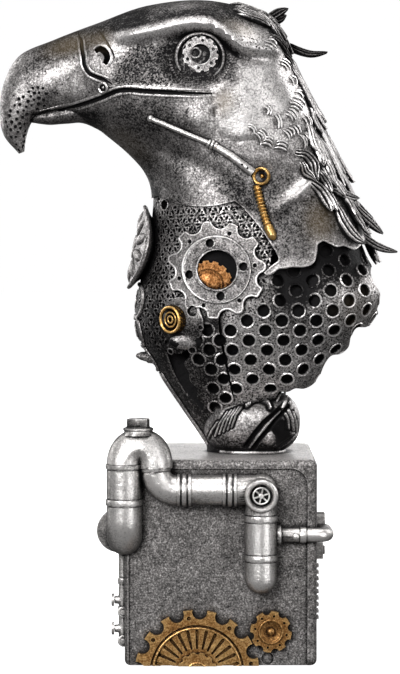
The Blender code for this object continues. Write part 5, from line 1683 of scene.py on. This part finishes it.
def build_side_rack():
    """The toothed strip on the right face, with a block and a round knob."""
    low, high, middle = place_of("side_rack")
    back, y = HALF - PANEL_DEPTH - 0.1, middle[1]
    strip = block((back, y - 3, low[2]), (back + 2.6, y + 3, high[2] - 3))
    thing = united("side_rack", strip,
                   block((back, y - 3.6, 48.5), (back + 5.6, y + 3.6, 56.8)),
                   drum((back, y, 67.2), (1, 0, 0), 4.2, 6.6, 32, 0.7),
                   drum((back + 5.0, y, 52.6), (1, 0, 0), 2.2, 1.6, 20, 0.3))
    teeth = [block((back + 1.0, y - 2.8, low[2] + 1 + i * 3.2),
                   (back + 3.6, y + 2.8, low[2] + 2.6 + i * 3.2)) for i in range(9)]
    add(thing, *teeth)
    cut(thing, drum((back + 5.4, y, 67.2), (1, 0, 0), 2.4, 3, 24))
    return softened(thing, 0.35, 2, 50)


# ---------------------------------------------------------------- gears of the front
BIG_RADIUS, BIG_TEETH = 30.0, 16
SMALL_RADIUS, SMALL_TEETH = 10.0, 8


def build_half_gear():
    """The large gear, cut off level with the plinth's foot."""
    low, high, middle = place_of("half_gear")
    centre, back = (middle[0], high[2] - BIG_RADIUS), PANEL + 0.1
    face = low[1] + 0.5
    flat = upright(back)
    pitch = TAU / BIG_TEETH
    first = math.radians(87.5)
    thing = temporary(prism(notched(centre, BIG_RADIUS, BIG_TEETH, 3.7, first, -0.9, 11, 4), 0,
                            back - face, flat), "half_gear")
    tools = [torus((centre[0], face, centre[1]), NEAR, 22.3, 0.55, 96, 8, 1.6)]
    slots = []
    for k in range(13):
        a = math.radians(12 + 13 * k)
        along = heading(a)
        across = left_of(along)
        rim = [np.array(centre) + along * r + (along * math.sin(t) + across * math.cos(t)) * half
               for r, half in ((19.8, 0.85), (11.6, -0.5)) for t in np.linspace(0, math.pi, 7)]
        slots.append(prism(rim, back - face - 1.3, back - face + 3, flat))
    for k in range(0, BIG_TEETH, 2):
        a = first + (k + 0.5) * pitch
        x, z = polar(centre, 26.3, a)
        tools.append(drum((x, face + 1.6, z), NEAR, 1.05, 4, 20))
    cut(thing, *slots)
    cut(thing, *tools)
    add(thing, torus((centre[0], face + 0.15, centre[1]), NEAR, 21.2, 0.6, 96, 8))
    add(thing, prism(notched(centre, 9.8, 13, 1.35, 0.1, 0.35, 8, 2), back - face - 0.5,
                     back - face + 1.3, flat))
    add(thing, torus((centre[0], face - 1.1, centre[1]), NEAR, 4.6, 0.7, 48, 8))
    cut(thing, block((-60, -60, -60), (60, 0, low[2])))
    return softened(thing, 0.22, 2, 45)


def build_small_gear():
    """The pinion with a dished hub and one pin hole per tooth."""
    low, _, middle = place_of("small_gear")
    centre, back = (middle[0], middle[2]), PANEL + 0.1
    face = low[1] + 0.5
    flat = upright(back)
    pitch = TAU / SMALL_TEETH
    thing = temporary(prism(notched(centre, SMALL_RADIUS, SMALL_TEETH, 2.1, 0.2, 0.35, 9, 3), 0,
                            back - face, flat), "small_gear")
    at = np.array((centre[0], face, centre[1]))
    cut(thing, *(drum(at + (7.7 * math.cos(a), 0.9, 7.7 * math.sin(a)), NEAR, 0.62, 4, 16)
                 for a in 0.2 + pitch / 2 + np.arange(SMALL_TEETH) * pitch))
    add(thing, torus(at, NEAR, 5.6, 0.65, 56, 10))
    cut(thing, turned([(3.0, -1.0), (4.8, 0.0), (4.8, 2.0)], frame_at(at, NEAR), 48))
    add(thing, ball(at + (0, 1.0, 0), (2.2, 2.0, 2.2), 24, 16))
    return softened(thing, 0.2, 2, 45)


# Painted light: the plinth's top face is painted brighter than its sides.
def plinth_tone_and_lit_top(points):
    return 0.42 + 0.5 * (points[:, 2] > TOP - 0.5)


def pipe_painted_light(thing):
    """Painted highlight where the pipes face front or back, painted shade round their left and
    right and on the dome."""
    count = len(thing.data.vertices)
    points, normals = np.empty(count * 3), np.empty(count * 3)
    thing.data.vertices.foreach_get("co", points)
    thing.data.vertices.foreach_get("normal", normals)
    height, out = points[2::3] / MM, np.abs(normals[1::3])
    return 0.22 + 0.78 * step_up(out, 0.15, 0.85) - 0.26 * step_up(height, 94, 108)


plinth = paint(build_plinth(), plinth_tone_and_lit_top)
pipes = build_pipes()
paint(pipes, lambda points, tone=pipe_painted_light(pipes): tone)
flange = plain(build_flange(), 0.3)
side_pipe = plain(build_side_pipe(), 0.75)
side_rack = plain(build_side_rack(), 0.6)
half_gear = plain(build_half_gear(), 0.58)
small_gear = plain(build_small_gear(), 0.5)


# ---------------------------------------------------------------- finishes
OLD_BROWN = (0.16, 0.12, 0.07)
DARK_ROUGHNESS = 0.6


def patina(name, dark, mid, light, roughness, speck=0.5, rim=0.0012):
    """Antique metal: blackened hollows, plain faces, rubbed edges (rim metres wide), specks,
    with painted shade near other pieces and the painted shade and highlights that tone carries.
    """
    material = bpy.data.materials.new(name)
    material.use_nodes = True
    tree = material.node_tree
    nodes, links = tree.nodes, tree.links
    shader = nodes["Principled BSDF"]
    shader.inputs["Metallic"].default_value = 0.85

    def node(kind, **settings):
        made = nodes.new(kind)
        for key, value in settings.items():
            setattr(made, key, value)
        return made

    def wire(value, socket):
        if isinstance(value, (int, float)):
            socket.default_value = value
        else:
            links.new(value, socket)

    def maths(operation, a, b=0.0, c=0.0, clamp=False):
        made = node("ShaderNodeMath", operation=operation, use_clamp=clamp)
        for value, socket in zip((a, b, c), made.inputs):
            wire(value, socket)
        return made.outputs[0]

    def ranged(value, low, high, to_low=0.0, to_high=1.0):
        made = node("ShaderNodeMapRange", interpolation_type="SMOOTHSTEP")
        wire(value, made.inputs["Value"])
        for key, number in (("From Min", low), ("From Max", high), ("To Min", to_low),
                            ("To Max", to_high)):
            made.inputs[key].default_value = number
        return made.outputs["Result"]

    def attribute(key):
        return node("ShaderNodeAttribute", attribute_name=key).outputs["Fac"]

    def noise(scale, detail=3.0, rough=0.55):
        made = node("ShaderNodeTexNoise")
        links.new(place.outputs["Object"], made.inputs["Vector"])
        made.inputs["Scale"].default_value = scale
        made.inputs["Detail"].default_value = detail
        made.inputs["Roughness"].default_value = rough
        return made.outputs["Fac"]

    place = node("ShaderNodeTexCoord")
    relief, tone, tint = attribute("relief"), attribute("tone"), attribute("tint")
    cells = node("ShaderNodeTexVoronoi")
    links.new(place.outputs["Object"], cells.inputs["Vector"])
    cells.inputs["Scale"].default_value = 850
    dots = maths("MULTIPLY", ranged(cells.outputs["Distance"], 0.30, 0.42, 1.0, 0.0),
                 attribute("spots"))
    # Painted shade: ambient occlusion darkens hollows and faces near other pieces, standing for
    # both the blackened wash and contact shadow.
    hollow = node("ShaderNodeAmbientOcclusion", samples=6)
    hollow.inputs["Distance"].default_value = 0.004
    open_air = ranged(hollow.outputs["AO"], 0.35, 0.9)
    edge = node("ShaderNodeAmbientOcclusion", samples=5, inside=True, only_local=True)
    edge.inputs["Distance"].default_value = rim
    rubbed = ranged(edge.outputs["AO"], 0.72, 0.35)
    patches, grain, fine = noise(70), noise(330, 4, 0.7), noise(1150, 3, 0.7)

    # tone brings in the painted shade and painted highlights of each piece
    level = maths("MULTIPLY_ADD", maths("SUBTRACT", patches, 0.5), 0.5, tone)
    level = maths("MULTIPLY_ADD", maths("SUBTRACT", grain, 0.5), 2.0 * speck, level)
    level = maths("MULTIPLY_ADD", maths("SUBTRACT", fine, 0.5), 4.5 * speck, level)
    level = maths("MULTIPLY_ADD", dots, -1.2, level)
    level = maths("ADD", ranged(relief, -0.9, -0.1, -1.0, 0.0), level)
    level = maths("MULTIPLY_ADD", ranged(relief, 0.1, 0.6), 0.35, level)
    level = maths("MULTIPLY_ADD", maths("SUBTRACT", 1.0, open_air), -0.9, level)
    level = maths("MULTIPLY_ADD", rubbed, 0.4, level, clamp=True)
    ramp = node("ShaderNodeValToRGB")
    stops = ramp.color_ramp.elements
    stops[0].position, stops[0].color = 0.0, (*dark, 1)
    stops[1].position, stops[1].color = 1.0, (*light, 1)
    middle = stops.new(0.5)
    middle.color = (*mid, 1)
    links.new(level, ramp.inputs["Fac"])
    brown = node("ShaderNodeMix", data_type="RGBA")
    wire(maths("MULTIPLY", tint, 0.5), brown.inputs["Factor"])
    links.new(ramp.outputs["Color"], brown.inputs["A"])
    brown.inputs["B"].default_value = (*OLD_BROWN, 1)
    links.new(brown.outputs["Result"], shader.inputs["Base Color"])
    uneven = maths("MULTIPLY_ADD", fine, 0.16, roughness - 0.08)
    rough = maths("MULTIPLY_ADD", maths("SUBTRACT", 1.0, level), DARK_ROUGHNESS - roughness, uneven)
    links.new(rough, shader.inputs["Roughness"])
    bump_node = node("ShaderNodeBump")
    bump_node.inputs["Strength"].default_value = 0.5
    bump_node.inputs["Distance"].default_value = 0.0005
    height = maths("MULTIPLY_ADD", dots, -0.8, maths("MULTIPLY_ADD", fine, 0.6, grain))
    links.new(height, bump_node.inputs["Height"])
    links.new(bump_node.outputs["Normal"], shader.inputs["Normal"])
    return material


SILVER = patina("antique_silver", (0.008, 0.0075, 0.008), (0.255, 0.242, 0.238),
                (0.86, 0.83, 0.82), 0.34, speck=0.44)
PEWTER = patina("dark_pewter", (0.02, 0.019, 0.019), (0.20, 0.19, 0.185), (0.68, 0.65, 0.64),
                0.44)
STEEL = patina("bright_pipe", (0.02, 0.02, 0.02), (0.36, 0.345, 0.335), (1.0, 0.97, 0.95), 0.30,
               speck=0.27)
BRONZE = patina("bronze", (0.012, 0.006, 0.003), (0.30, 0.14, 0.04), (0.85, 0.54, 0.22), 0.30,
                speck=0.4, rim=0.0024)
BRASS = patina("brass", (0.012, 0.006, 0.002), (0.66, 0.36, 0.09), (0.95, 0.66, 0.28), 0.25)
COPPER = patina("copper", (0.015, 0.005, 0.002), (0.42, 0.17, 0.05), (0.90, 0.52, 0.22), 0.28)

dress(head, "head_skin", SILVER)
dress(mantle, "mantle_skin", SILVER)
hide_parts("bird")
dress(plinth, "plinth_body", PEWTER)
dress(pipes, "pipework", STEEL)
dress(flange, "hand_wheel", STEEL)
dress(side_pipe, "standing_pipe", STEEL)
dress(side_rack, "rack", STEEL)
dress(half_gear, "large_gear", BRONZE)
dress(small_gear, "pinion", BRONZE)
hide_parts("plinth")
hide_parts("pipe_run")
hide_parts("side_pipe")
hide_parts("side_rack")
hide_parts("half_gear")
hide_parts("small_gear")
dress(plates, "neck_plates", SILVER)
dress(plain(gears_inside, 0.55), "porthole_gears", COPPER)
dress(paint(copper, ring_tone), "copper_rings", BRASS)
dress(plain(links, 0.75), "jaw_linkage", STEEL)
dress(plain(springs, 0.65), "spring_struts", BRASS)
dress(paint(eyes, eye_tone), "eyes", SILVER)
dress(brooch, "medallion", SILVER)
dress(plain(chest, 0.4), "chest_frames", SILVER)
dress(bud, "bud", SILVER)
dress(locks, "feather_locks", SILVER, 60)
dress(strokes, "cheek_curls", SILVER, 60)
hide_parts("porthole_gear_right", "porthole_gear_left")
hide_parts("copper_ring_right", "copper_ring_left")
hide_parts("cheek_rod_right", "cheek_rod_left")
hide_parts("spring_strut_right", "spring_strut_left")

# ---------------------------------------------------------------- stage, light, camera

def emissive(name, colour, strength):
    """A paint that glows white over its own colour."""
    material = bpy.data.materials.new(name)
    material.use_nodes = True
    shader = material.node_tree.nodes["Principled BSDF"]
    shader.inputs["Base Color"].default_value = (*colour, 1)
    shader.inputs["Roughness"].default_value = 0.9
    shader.inputs["Emission Color"].default_value = (1, 1, 1, 1)
    shader.inputs["Emission Strength"].default_value = strength
    return material


def staged(name, raw, material):
    """A piece of the studio. It shows, but neither lights nor mirrors in the object."""
    thing = temporary(raw, name)
    thing.data.materials.append(material)
    thing.data.shade_smooth()
    thing.visible_diffuse = False
    thing.visible_glossy = False
    thing.visible_shadow = False
    return thing


STUDIO = 5000.0            # radius of the floor
LIT_POINT = (0, 0, 0.17)   # what every lamp looks at, in metres
staged("floor", turned([(STUDIO, -8.0), (STUDIO, -0.2)], sides=96),
       emissive("floor_paint", (0.5, 0.5, 0.5), 0.97))
staged("backdrop", ball((0, 0, 0), STUDIO * 1.1, 48, 24),
       emissive("backdrop_paint", (0, 0, 0), 1.0))


def soft_light(name, place, size, power):
    """A rectangular lamp, its place and size in metres."""
    lamp = bpy.data.lights.new(name, "AREA")
    lamp.shape = "RECTANGLE"
    lamp.size, lamp.size_y = size
    lamp.energy = power
    thing = linked(name, lamp)
    thing.location = place
    thing.rotation_euler = (Vector(place) - Vector(LIT_POINT)).to_track_quat("Z", "Y").to_euler()
    return thing


soft_light("key", (-0.65, -1.5, 0.85), (0.8, 0.8), 30)
soft_light("fill", (1.0, -1.1, 0.35), (0.4, 1.0), 6)
soft_light("top", (0.0, -0.1, 1.4), (0.9, 0.7), 9)
soft_light("back", (0.0, 1.5, 0.30), (1.8, 0.3), 8).visible_camera = False
soft_light("rim_left", (-1.1, 0.7, 0.6), (0.5, 1.0), 9)
soft_light("rim_right", (1.1, 0.7, 0.7), (0.5, 1.0), 12)

world = bpy.data.worlds.new("studio")
bpy.context.scene.world = world
world.use_nodes = True
world.node_tree.nodes["Background"].inputs["Color"].default_value = (1, 1, 1, 1)
world.node_tree.nodes["Background"].inputs["Strength"].default_value = 0.10

camera_data = bpy.data.cameras.new("camera")
camera_data.sensor_width = 36
camera_data.lens = 144.86
camera = linked("camera", camera_data)
camera.location = (-0.010, -1.347, 0.227)
camera.rotation_euler = (math.radians(90 - 2.98), 0, 0)
bpy.context.scene.camera = camera
bpy.context.scene.view_settings.view_transform = "Standard"
